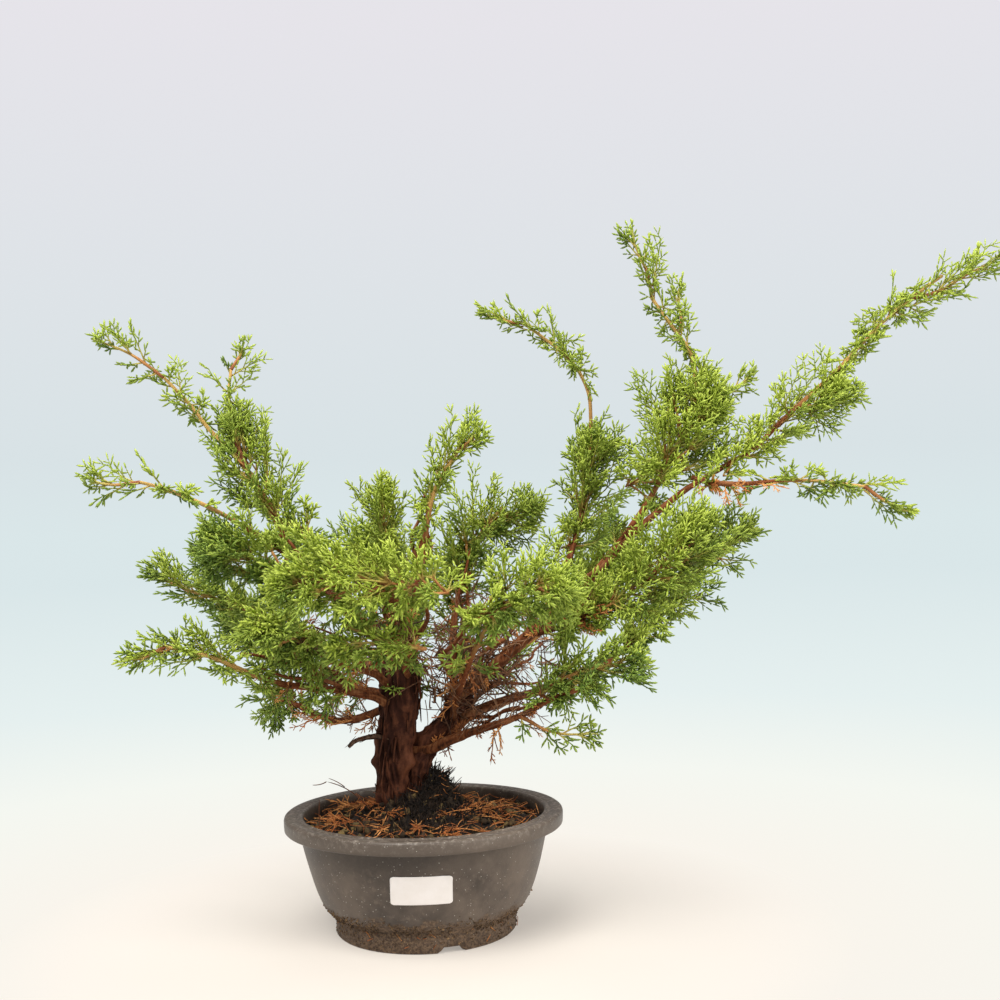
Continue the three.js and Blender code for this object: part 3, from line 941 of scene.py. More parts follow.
# ---- The pot, its label and its soil ----
@dataclass
class Pot:
    """The moulded pot: flanged rim, bulging wall, foot band with notches, raised floor and middle pad."""

    finish: PotFinish = field(default_factory=PotFinish)
    sides: int = 180
    wall: float = 0.0026
    foot_radius: float = 0.0805
    foot_band: float = 0.019
    wall_top_radius: float = 0.112
    wall_bulge: float = 0.58
    shoulder: Span = (0.006, 0.003)
    foot_wall: float = 0.0036
    floor_level: float = 0.005
    pad_radius: float = 0.026
    mouth_radius: float = 0.1085
    rim_band: float = 0.012
    notch_angles: tuple[float, ...] = (-math.pi / 2 + 0.26, math.pi / 6 + 0.26, 5 * math.pi / 6 + 0.26)
    notch_height: float = 0.005
    notch_width: float = 0.022
    hole_radius: float = 0.006
    hole_distance: float = 0.052

    def __post_init__(self) -> None:
        """Reads the rim and the height from the frame."""
        low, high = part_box("pot")
        self.rim_radius = float(high.x - low.x) / 2
        self.height = float(high.z)

    def wall_radius(self, height: Array) -> Array:
        """Radius of the outer wall: it grows with the height's share to the power of the bulge."""
        low, high = self.foot_band + self.shoulder[1], self.height - self.rim_band
        share = np.clip((height - low) / (high - low), 0, 1)
        first = self.foot_radius + self.shoulder[0]
        return first + (self.wall_top_radius - first) * share**self.wall_bulge

    def outline(self) -> Array:
        """The half outline as (radius, height) rows, from the underside's middle round to the floor's."""
        under = self.height - self.rim_band
        ledge = self.foot_band + self.shoulder[1]
        climb = ledge + (under - self.foot_band - self.shoulder[1]) * np.linspace(0, 1, 26) ** 1.6
        outer = np.stack([self.wall_radius(climb), climb], axis=1)
        inner = outer[::-1] - (self.wall, 0)
        rim, top, mouth, foot = self.rim_radius, self.height, self.mouth_radius, self.foot_radius
        base = [
            (0.0, 0.0),
            (self.pad_radius * 0.7, 0.0),
            (self.pad_radius, 0.0),
            (self.pad_radius + 0.001, self.floor_level),
            (0.040, self.floor_level),
            (0.064, self.floor_level),
            (foot - self.foot_wall - 0.0006, self.floor_level),
            (foot - self.foot_wall, self.floor_level - 0.0006),
            (foot - self.foot_wall, 0.0008),
            (foot - self.foot_wall + 0.0008, 0.0),
            (foot - 0.0010, 0.0),
            (foot, 0.0010),
            (foot + 0.0004, 0.010),
            (foot + 0.0010, self.foot_band - 0.004),
            (foot + 0.0022, self.foot_band - 0.001),
            (foot + 0.0044, self.foot_band + 0.0014),
        ]
        flange = [
            (self.wall_top_radius + 0.0006, under + 0.0002),
            (rim - 0.0030, under),
            (rim - 0.0012, under),
            (rim - 0.0004, under + 0.0008),
            (rim - 0.0001, under + 0.004),
            (rim, top - 0.0030),
            (rim - 0.0005, top - 0.0013),
            (rim - 0.0016, top - 0.0004),
            (rim - 0.0034, top - 0.0001),
            (mouth + 0.0085, top - 0.0005),
            (mouth + 0.0062, top - 0.0009),
            (mouth + 0.0054, top - 0.0014),
            (mouth + 0.0046, top - 0.0009),
            (mouth + 0.0030, top),
            (mouth + 0.0014, top - 0.0002),
            (mouth + 0.0003, top - 0.0010),
            (mouth, top - 0.0024),
            (mouth - 0.0008, under + 0.003),
        ]
        bottom = [
            (foot - 0.0018, self.foot_band),
            (foot - self.foot_wall, self.floor_level + self.wall + 0.002),
            (foot - self.foot_wall - 0.002, self.floor_level + self.wall),
            (0.040, self.floor_level + self.wall),
            (0.0, self.floor_level + self.wall),
        ]
        return np.concatenate([base, outer, flange, inner, bottom])

    def skin(self) -> Skin:
        """The outline turned about +Z.

        point(k, a) = (R_k cos a, R_k sin a, Z_k). Near the ground the foot's height is lifted to the notch's
        height inside each notch, with ramped sides, and the wall's radius wanders by a few tenths of a
        millimetre.

        Returns:
            The closed skin.
        """
        outline = self.outline()[1:-1]
        angle = full_turn(self.sides)
        radius, height = (np.repeat(outline[:, k : k + 1], self.sides, axis=1) for k in range(2))
        rng = np.random.default_rng(11)
        wander = smooth_noise(angle[None, :] / (2 * math.pi), height / self.height, (9, 4), rng)
        radius = radius + 0.0003 * wander * (height > self.foot_band)
        on_foot = (radius > self.foot_radius - self.foot_wall - 0.001) & (height < self.notch_height)
        lift = np.zeros(self.sides)
        for away in self.from_notches(angle):
            lift = np.maximum(lift, 1 - eased(self.notch_width / 2 - 0.003, self.notch_width / 2, away))
        floor = self.notch_height * lift[None, :]
        height = np.where(on_foot, np.maximum(height, floor), height)
        ring = around_axis(radius, angle, height)
        ends = np.array([(0, 0, 0), (0, 0, self.floor_level + self.wall)], float)
        points = np.concatenate([ring.reshape(-1, 3), ends])
        return Skin.plain(points, closed_faces(len(outline), self.sides))

    def build(self) -> bpy.types.Object:
        """Makes the pot, cuts its drain holes and dresses it."""
        pot = self.skin().piece("pot_shell", self.finish.material(), "pot_plastic", "pot")
        self.cut_holes(pot)
        return pot

    def from_notches(self, angle: Array) -> list[Array]:
        """Distances along the foot from the middle of each notch."""
        return [
            np.abs((angle - middle + math.pi) % (2 * math.pi) - math.pi) * self.foot_radius
            for middle in self.notch_angles
        ]

    def crust(self) -> Skin:
        """Crumbs of dried earth on the foot band, thickest on its shoulder and thinning out up the wall."""
        rng = np.random.default_rng(13)
        count = 5600
        angle = rng.uniform(0, 2 * math.pi, count)
        ledge = self.foot_band + self.shoulder[1]
        by_ledge = rng.uniform(0, 1, count) < 0.76
        height = np.where(by_ledge, rng.normal(ledge, 0.0042, count), rng.uniform(0.001, ledge, count))
        beside = np.min(self.from_notches(angle), axis=0) > self.notch_width / 2
        on_band = (height > 0.001) & (beside | (height > self.notch_height + 0.0015))
        patches = smooth_noise(angle / (2 * math.pi), height / 0.04, (44, 4), rng)
        patchy = patches > -0.35 + 40 * (height - 0.022)
        angle, height = angle[on_band & patchy], height[on_band & patchy]
        size = 0.0004 + 0.0011 * rng.power(0.5, len(angle)) * rng.uniform(0.2, 1, len(angle))
        share = height / self.foot_band
        band = self.foot_radius + (0.0008 + 0.0034 * eased(0.72, 1.0, share)) * height / self.foot_band
        band = np.minimum(band, self.foot_radius + 0.0042)
        radius = np.where(height < ledge, band, self.wall_radius(height)) + size * 0.3
        centres = around_axis(radius, angle, height)
        return lumps(centres, size, 0.25 + 0.75 * rng.uniform(0, 1, len(angle)) ** 1.6, rng)

    def stuck_needles(self) -> Skin:
        """Dead needles dried on to the foot band, lying nearly flat against it."""
        rng = np.random.default_rng(14)
        count = 34
        angle = rng.uniform(0, 2 * math.pi, count)
        height = rng.uniform(0.004, self.foot_band, count)
        out = around_axis(1.0, angle, 0.0)
        along = np.stack([-np.sin(angle), np.cos(angle), 0 * angle], axis=1)
        lean = rng.uniform(-1.0, 1.0, count)
        axis = unit(along * np.cos(lean)[:, None] + UP * np.sin(lean)[:, None])
        length = rng.uniform(0.003, 0.009, count)[:, None]
        middle = out * (self.foot_radius + 0.0018) + UP * height[:, None]
        start, end = middle - axis * length / 2, middle + axis * length / 2
        start[:, 2], end[:, 2] = np.maximum(start[:, 2], 0.001), np.maximum(end[:, 2], 0.001)
        return bent_cords(start, middle, end, (0.0004, 0.0002), 4, (0.0, 1.0), rng.uniform(0.2, 1, count))

    def cut_holes(self, pot: bpy.types.Object) -> None:
        """Cuts a round drain hole through the floor between each pair of notches."""
        corners = 24
        turn = full_turn(corners)
        ring = np.stack([self.hole_radius * np.cos(turn), self.hole_radius * np.sin(turn)], axis=1)
        for middle in self.notch_angles:
            angle = middle + math.pi / 3
            at = self.hole_distance * np.array((math.cos(angle), math.sin(angle)))
            levels = [np.column_stack([ring + at, np.full(corners, z)]) for z in (-0.01, 0.02)]
            plug = bpy.data.meshes.new("hole_plug")
            sides = [tuple(face) for face in grid_faces(2, corners, True).tolist()]
            lids = [tuple(range(corners - 1, -1, -1)), tuple(range(corners, 2 * corners))]
            plug.from_pydata(np.concatenate(levels).tolist(), [], [*sides, *lids])
            cutter = bpy.data.objects.new("hole_plug", plug)
            bpy.context.scene.collection.objects.link(cutter)
            cut = pot.modifiers.new("hole", "BOOLEAN")
            cut.operation, cut.object, cut.solver = "DIFFERENCE", cutter, "EXACT"
            shown = pot.evaluated_get(bpy.context.evaluated_depsgraph_get())
            done = bpy.data.meshes.new_from_object(shown)
            pot.modifiers.remove(cut)
            pot.data = done
            bpy.data.objects.remove(cutter)


@dataclass
class Label:
    """A blank paper label with rounded corners, bent round the wall."""

    pot: Pot
    finish: PaperFinish = field(default_factory=PaperFinish)
    corner: float = 0.0028
    thickness: float = 0.00025
    columns: int = 60
    rows: int = 40

    def build(self) -> bpy.types.Object:
        """Makes the label.

        A share (p, q) of the sheet, each from -1 to 1, lies at height z = middle + q H/2 and at arc distance
        p times the half width there, which the corners' circles narrow near the top and bottom. The point is
        on the wall's radius at z plus a small stand-off, which grows at one corner where the paper lifts.

        Returns:
            The piece.
        """
        low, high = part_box("label")
        width, tall = float(high.x - low.x), float(high.z - low.z)
        middle_x, middle_z = float(high.x + low.x) / 2, float(high.z + low.z) / 2
        q, p = np.meshgrid(np.linspace(-1, 1, self.rows), np.linspace(-1, 1, self.columns), indexing="ij")
        near_end = np.maximum(np.abs(q) * tall / 2 - (tall / 2 - self.corner), 0)
        half = width / 2 - self.corner + np.sqrt(np.maximum(self.corner**2 - near_end**2, 0))
        z = middle_z + q * tall / 2
        radius = self.pot.wall_radius(z)
        lifted = 0.0012 * eased(0.75, 1.0, p) * eased(0.3, 1.0, q)
        angle = -math.pi / 2 + (middle_x + p * half) / radius
        sheets = []
        for stand_off in (0.0004 + self.thickness, 0.0004):
            r = radius + stand_off + lifted
            sheets.append(around_axis(r, angle, z).reshape(-1, 3))
        front = as_triangles(grid_faces(self.rows, self.columns, False))
        count = self.rows * self.columns
        index = np.arange(count).reshape(self.rows, self.columns)
        rim = np.concatenate([index[0, :-1], index[:-1, -1], index[-1, :0:-1], index[:0:-1, 0]])
        after = np.roll(rim, -1)
        edge = as_triangles(np.stack([rim, rim + count, after + count, after], axis=1))
        faces = np.concatenate([front, front[:, ::-1] + count, edge])
        points = np.concatenate(sheets)
        return Skin.plain(points, faces).piece("label_sheet", self.finish.material(), "label_paper", "label")


@dataclass
class Soil:
    """The soil's surface, with clay grains, dead needles, sprigs and the root mass beside the trunk."""

    pot: Pot
    seed: int = 21
    rings: int = 90
    sides: int = 240
    base_level: float = 0.0082
    base_radius: float = 0.0762
    earth: SoilFinish = SoilFinish(
        "earth",
        ((0.0, (0.006, 0.0036, 0.0022, 1)), (0.55, (0.03, 0.015, 0.007, 1)), (1.0, (0.11, 0.062, 0.026, 1))),
    )
    crumbs: SoilFinish = SoilFinish(
        "dried_crust",
        ((0.0, (0.030, 0.017, 0.009, 1)), (0.55, (0.150, 0.086, 0.042, 1)), (1.0, (0.380, 0.240, 0.120, 1))),
    )
    clay: SoilFinish = SoilFinish(
        "clay_grains",
        ((0.0, (0.014, 0.008, 0.004, 1)), (0.55, (0.098, 0.055, 0.018, 1)), (1.0, (0.430, 0.300, 0.105, 1))),
    )
    litter: SoilFinish = SoilFinish(
        "dead_litter",
        ((0.0, (0.090, 0.028, 0.010, 1)), (0.45, (0.520, 0.155, 0.036, 1)), (1.0, (0.840, 0.370, 0.115, 1))),
        roughness=0.6,
        depth=0.0002,
        stain=0.25,
    )
    fallen: Spray = field(
        default_factory=lambda: Spray(
            branchlets=5,
            fingers=3,
            twig_radius=0.0006,
            cord_radius=0.00045,
            finger_radius=0.0005,
            finger_length=0.010,
        )
    )

    twigs: tuple[tuple[Place, Place, Place], ...] = (
        ((-0.046, -0.020, 0.108), (-0.062, -0.018, 0.131), (-0.086, -0.021, 0.1370)),
        ((-0.070, -0.020, 0.1315), (-0.076, -0.023, 0.1375), (-0.084, -0.024, 0.1405)),
        ((-0.086, -0.021, 0.1370), (-0.090, -0.024, 0.1345), (-0.098, -0.027, 0.1355)),
        ((-0.092, -0.030, 0.097), (-0.0925, -0.030, 0.110), (-0.0915, -0.030, 0.124)),
    )

    def __post_init__(self) -> None:
        """Reads the level and the radius of the soil from the frame."""
        low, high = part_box("soil")
        self.radius = float(high.x - low.x) / 2 + 0.0004
        self.level = self.pot.height - 0.010
        self.rng = np.random.default_rng(self.seed)

    def surface(self, x: Array, y: Array) -> Array:
        """Height of the soil: a bell round the trunk, a heap on its right, lumps, and a lower edge."""
        bell = 0.020 * np.exp(-(((x + 0.016) ** 2 + (y + 0.004) ** 2) / 0.045**2))
        heap = 0.026 * np.exp(-(((x - 0.010) / 0.023) ** 2 + ((y - 0.002) / 0.024) ** 2))
        waves = 0.0016 * np.sin(95 * x + 2.1 * np.sin(70 * y))
        waves = waves + 0.0013 * np.sin(118 * y + 1.7 * np.sin(83 * x))
        edge = -0.003 * eased(0.080, 0.104, np.hypot(x, y))
        return self.level + bell + heap + waves + edge

    def scattered(self, count: int, inner: float = 0.0) -> tuple[Array, Array]:
        """Random places on the disc, evenly by area, outside the inner share of it."""
        away = np.sqrt(self.rng.uniform(inner, 1, count)) * (self.radius - 0.002)
        angle = self.rng.uniform(0, 2 * math.pi, count)
        return away * np.cos(angle), away * np.sin(angle)

    def build(self) -> list[bpy.types.Object]:
        """Makes the soil body, its grains, its litter and the root mass."""
        earth, clay, litter = (finish.material() for finish in (self.earth, self.clay, self.litter))
        return [
            self.body().piece("soil_body", earth, "soil_mix", "soil"),
            self.grains().piece("soil_grains", clay, "soil_mix"),
            self.needles().piece("soil_needles", litter, "soil_mix"),
            self.fallen_sprays().piece("fallen_sprays", litter, "soil_mix"),
            self.root_mass().piece("root_mass", earth, "soil_mix"),
            self.stray_twigs().piece("stray_twigs", litter, "soil_mix"),
            self.pot.crust().piece("foot_crust", self.crumbs.material(), "soil_mix", smooth=False),
            self.pot.stuck_needles().piece("foot_needles", litter, "soil_mix"),
        ]

    def body(self) -> Skin:
        """The soil as a closed cake: a polar grid of the surface's height, a side and a flat base."""
        away = np.linspace(0.001, 1, self.rings)[:, None] * self.radius
        angle = full_turn(self.sides)[None, :]
        x, y = away * np.cos(angle), away * np.sin(angle)
        fine = smooth_noise(angle / (2 * math.pi), away / self.radius, (110, 60), self.rng)
        coarse = smooth_noise(angle / (2 * math.pi), away / self.radius, (36, 22), self.rng)
        z = self.surface(x, y) + (0.0013 * fine + 0.0022 * coarse) * eased(0, 0.3, away / self.radius)
        top = np.stack([x, y, z], axis=2)
        levels = np.array([0.086, 0.060, 0.036, 0.022, self.base_level])
        inside = np.append(self.pot.wall_radius(levels[:4]) - self.pot.wall - 0.0006, self.base_radius)
        side = around_axis(inside[:, None], angle, levels[:, None])
        ends = [(0, 0, float(z[0].mean())), (0, 0, self.base_level)]
        points = np.concatenate([top.reshape(-1, 3), side.reshape(-1, 3), ends])
        faces = closed_faces(self.rings + len(levels), self.sides)[:, ::-1]
        tone_and_shade = np.concatenate([(0.35 + 0.3 * coarse).ravel(), np.full(len(levels) * self.sides + 2, 0.3)])
        return Skin(points, faces, np.zeros(len(points)), tone_and_shade)

    def grains(self) -> Skin:
        """Clods of 4 to 10 mm, their lower part sunk in the surface, and crumbs of 1 to 4 mm between them."""
        x, y = self.scattered(2700)
        clods = 300
        size = 0.0006 + 0.0015 * self.rng.power(0.6, len(x))
        size[:clods] = self.rng.uniform(0.0022, 0.0050, clods)
        inside = np.hypot(x, y) + size < self.radius
        z = self.surface(x, y) + size * 0.5
        shade = self.rng.uniform(0, 1, len(x)) ** 1.5
        shade[:clods] = self.rng.uniform(0.1, 0.8, clods)
        return lumps(np.stack([x, y, z], axis=1)[inside], size[inside], shade[inside], self.rng)

    def needles(self) -> Skin:
        """Dead needles and broken sprigs lying at all angles, some standing proud of the surface."""
        x, y = self.scattered(520, 0.02)
        over_roots = (np.hypot(x + 0.004, y + 0.036) < 0.036) & (self.rng.uniform(0, 1, len(x)) < 0.8)
        x, y = x[~over_roots], y[~over_roots]
        count = len(x)
        heading = self.rng.uniform(0, 2 * math.pi, count)
        rise = self.rng.normal(0.05, 0.34, count)
        axis = unit(np.stack([np.cos(heading), np.sin(heading), rise], axis=1))
        length = self.rng.uniform(0.009, 0.030, count)
        height = self.surface(x, y) + 0.0036 + np.abs(self.rng.normal(0, 0.0018, count))
        middle = np.stack([x, y, height], axis=1)
        start, end = middle - axis * length[:, None] / 2, middle + axis * length[:, None] / 2
        inside = np.maximum(np.hypot(end[:, 0], end[:, 1]), np.hypot(start[:, 0], start[:, 1])) < self.radius
        start, end, middle, length = start[inside], end[inside], middle[inside], length[inside]
        middle = middle + self.rng.normal(0, 1, middle.shape) * length[:, None] * 0.12
        count = len(start)
        thick = self.rng.uniform(0.00032, 0.00058, count)
        shade = self.rng.uniform(0.1, 1, count)
        return bent_cords(start, middle, end, (thick, thick * 0.5), 4, (0.0, 1.0), shade)

    def stray_twigs(self) -> Skin:
        """A dead twig arching out of the soil on the left, its two short forks, and a bare one by the rim."""
        thick = np.array([0.0007, 0.0005, 0.0006, 0.0005])
        start, middle, end = np.array(self.twigs).swapaxes(0, 1)
        return bent_cords(start, middle, end, (thick, thick * 0.6), 8, (0.0, 1.0), np.full(4, 0.05))

    def fallen_sprays(self) -> Skin:
        """Withered sprays that have dropped on to the soil and lie flat on it."""
        x, y = self.scattered(70, 0.10)
        inside = np.hypot(x, y) < self.radius - 0.030
        x, y = x[inside], y[inside]
        count = len(x)
        heading = self.rng.uniform(0, 2 * math.pi, count)
        axis = np.stack([np.cos(heading), np.sin(heading), self.rng.uniform(0.0, 0.25, count)], axis=1)
        start = np.stack([x, y, self.surface(x, y) + 0.0032], axis=1)
        face = unit(UP + self.rng.normal(0, 0.18, (count, 3)))
        bend = self.rng.normal(0, 0.12, (count, 3)) * (1, 1, 0.3)
        shade = self.rng.uniform(0.3, 1, count)
        length = self.rng.uniform(0.012, 0.024, count)
        return self.fallen.grow(start, unit(axis), length, face, bend, shade, self.rng)

    def root_mass(self) -> Skin:
        """Black fibrous roots heaped by the trunk's foot, on its right and in front: short cords all ways."""
        count = 3600
        around = self.rng.normal(0, 1, (count, 2)) * (0.020, 0.019)
        in_front = self.rng.uniform(0, 1, count) < 0.5
        x = np.where(in_front, -0.003, 0.010) + around[:, 0]
        y = np.where(in_front, -0.042, -0.004) + around[:, 1]
        start = np.stack([x, y, self.surface(x, y) - 0.001], axis=1)
        out = self.rng.normal(0, 1, (count, 3)) + (0.2, -0.2, 0.9)
        length = self.rng.uniform(0.003, 0.011, count) * self.rng.choice([0.6, 1.0, 1.5], count)
        end = start + unit(out) * length[:, None]
        middle = (start + end) / 2 + self.rng.normal(0, 0.0022, (count, 3))
        thick = self.rng.uniform(0.0003, 0.0010, count)
        shade = self.rng.uniform(0, 0.8, count)
        return bent_cords(start, middle, end, (thick, thick * 0.4), 4, (0.0, 1.0), shade)


# ---- Wood ----
@dataclass
class Wood:
    """The trunk and its limbs, with flaking bark, each read from its own CAD solid.

    mature names the limbs whose bark stays brown to the tip, where the others run to a yellow shoot. A row of
    flaking gives a trunk or limb, how many strips of bark lift off it, and their width.
    """

    trunks: tuple[str, ...] = ("trunk", "right_trunk")
    dead: tuple[str, ...] = ("dead_stub",)
    mature: tuple[str, ...] = (
        "right_lowest_limb",
        "right_low_limb",
        "right_middle_limb",
        "left_lowest_limb",
        "front_limb",
    )
    flaking: tuple[tuple[str, int, float], ...] = (
        ("trunk", 190, 0.0010),
        ("right_trunk", 60, 0.0008),
        ("dead_stub", 22, 0.0004),
        ("right_lowest_limb", 20, 0.0005),
        ("right_low_limb", 24, 0.0005),
        ("left_lowest_limb", 16, 0.0005),
        ("long_limb", 24, 0.0005),
    )
    old: BarkFinish = BarkFinish(
        "trunk_bark",
        strand=(0.040, 0.0105, 0.0048, 1),
        flake=(0.200, 0.066, 0.028, 1),
        scale=170.0,
        depth=0.0016,
        patchy=0.6,
    )
    limb: BarkFinish = BarkFinish(
        "limb_bark",
        strand=(0.146, 0.044, 0.014, 1),
        flake=(0.310, 0.138, 0.056, 1),
        scale=380.0,
        depth=0.0007,
    )
    grey: BarkFinish = BarkFinish(
        "dead_bark",
        strand=(0.068, 0.034, 0.020, 1),
        flake=(0.190, 0.115, 0.072, 1),
        young=(0.2, 0.14, 0.1, 1),
        scale=380.0,
    )

    def __post_init__(self) -> None:
        """Reads every limb's route."""
        nodes = {row["node"]: row["material_slot"] for row in frame["record"]["subparts"]}
        self.limbs = [name for name, slot in nodes.items() if slot == "limb_bark"]
        self.routes = {name: Route.of_node(name) for name in (*self.trunks, *self.limbs, *self.dead)}

    def build(self) -> list[bpy.types.Object]:
        """Makes one piece for each trunk and limb, and one for the loose strips of bark."""
        old, limb, grey = (finish.material() for finish in (self.old, self.limb, self.grey))
        pieces = []
        for number, (name, route) in enumerate(self.routes.items()):
            rng = np.random.default_rng(100 + number)
            if name in self.trunks:
                material, slot, reach, sides, relief = old, "bark", 0.010, 96, 0.13
            elif name in self.dead:
                material, slot, reach, sides, relief = grey, "dead_wood", 0.008, 28, 0.30
            else:
                from_trunk = np.hypot(*(route.at(np.zeros(1))[0][0, :2] + (0.02, 0.0))) < 0.07
                reach = 0.012 if from_trunk else 0.005
                material, slot, sides, relief = limb, "limb_bark", 28, 0.13
            if name == "trunk":
                reach = 0.0
            line = route.reaching_back(reach) if reach else route
            rings = max(24, int(line.length() / 0.0016))
            skin = bark_tube(line, rings, sides, relief, rng, self.growth_of(name))
            if name in self.trunks:
                self.swell(skin, line, rng)
            pieces.append(skin.piece(f"{name}_wood", material, slot, name))
        pieces.append(self.strips().piece("bark_strips", old, "bark"))
        return pieces

    def growth_of(self, name: str) -> float:
        """Painted growth at the tip: none on trunks and dead wood, some on mature limbs, full on others."""
        if name in (*self.trunks, *self.dead):
            return 0.0
        return 0.62 if name in self.mature else 1.15

    def swell(self, skin: Skin, line: Route, rng: Draws) -> None:
        """Raises knobs and sinks hollows on a trunk: each a bell 5 to 16 mm wide, 4 mm out to 3 mm in."""
        shares = rng.uniform(0.2, 1.0, 110)
        places, tangents, radii = line.at(shares)
        first, second = across(tangents)
        angle = rng.uniform(0, 2 * math.pi, len(shares))[:, None]
        spots = places + (np.cos(angle) * first + np.sin(angle) * second) * radii[:, None]
        height = rng.uniform(-0.0030, 0.0040, len(shares))
        width = rng.uniform(0.0025, 0.0085, len(shares))
        gaps = np.linalg.norm(skin.points[:, None] - spots[None], axis=2)
        lift = (height * np.exp(-((gaps / width) ** 2))).sum(axis=1)
        middle, _, _ = line.at(np.linspace(0, 1, 200))
        nearest = middle[np.linalg.norm(skin.points[:, None] - middle[None], axis=2).argmin(axis=1)]
        skin.points += unit(skin.points - nearest) * lift[:, None]
        # Painted highlight and shade: knobs are painted lighter and hollows darker.
        skin.tone_and_shade += 40 * lift

    def strips(self) -> Skin:
        """Strips of bark lifting off trunks and old limbs: cords along the wood, one end bent outwards."""
        rng = np.random.default_rng(77)
        skins = []
        for name, count, width in self.flaking:
            shares = rng.uniform(0.25, 0.98, count)
            places, tangents, radii = self.routes[name].at(shares)
            first, second = across(tangents)
            angle = rng.uniform(0, 2 * math.pi, count)[:, None]
            out = np.cos(angle) * first + np.sin(angle) * second
            length = rng.uniform(6, 24, count)[:, None] * width
            lean = rng.choice([-1.0, 1.0], (count, 1))
            foot = places + out * (radii[:, None] * 0.98)
            tip = foot + tangents * lean * length + out * rng.uniform(0.4, 3.5, (count, 1)) * width
            middle = (foot + tip) / 2 + out * 0.0004
            thick = rng.uniform(0.5, 1.2, count) * width
            shade = rng.uniform(0.25, 1.0, count)
            skins.append(bent_cords(foot, middle, tip, (thick, thick * 0.5), 4, (0.0, 0.0), shade))
        return Skin.joined(skins)


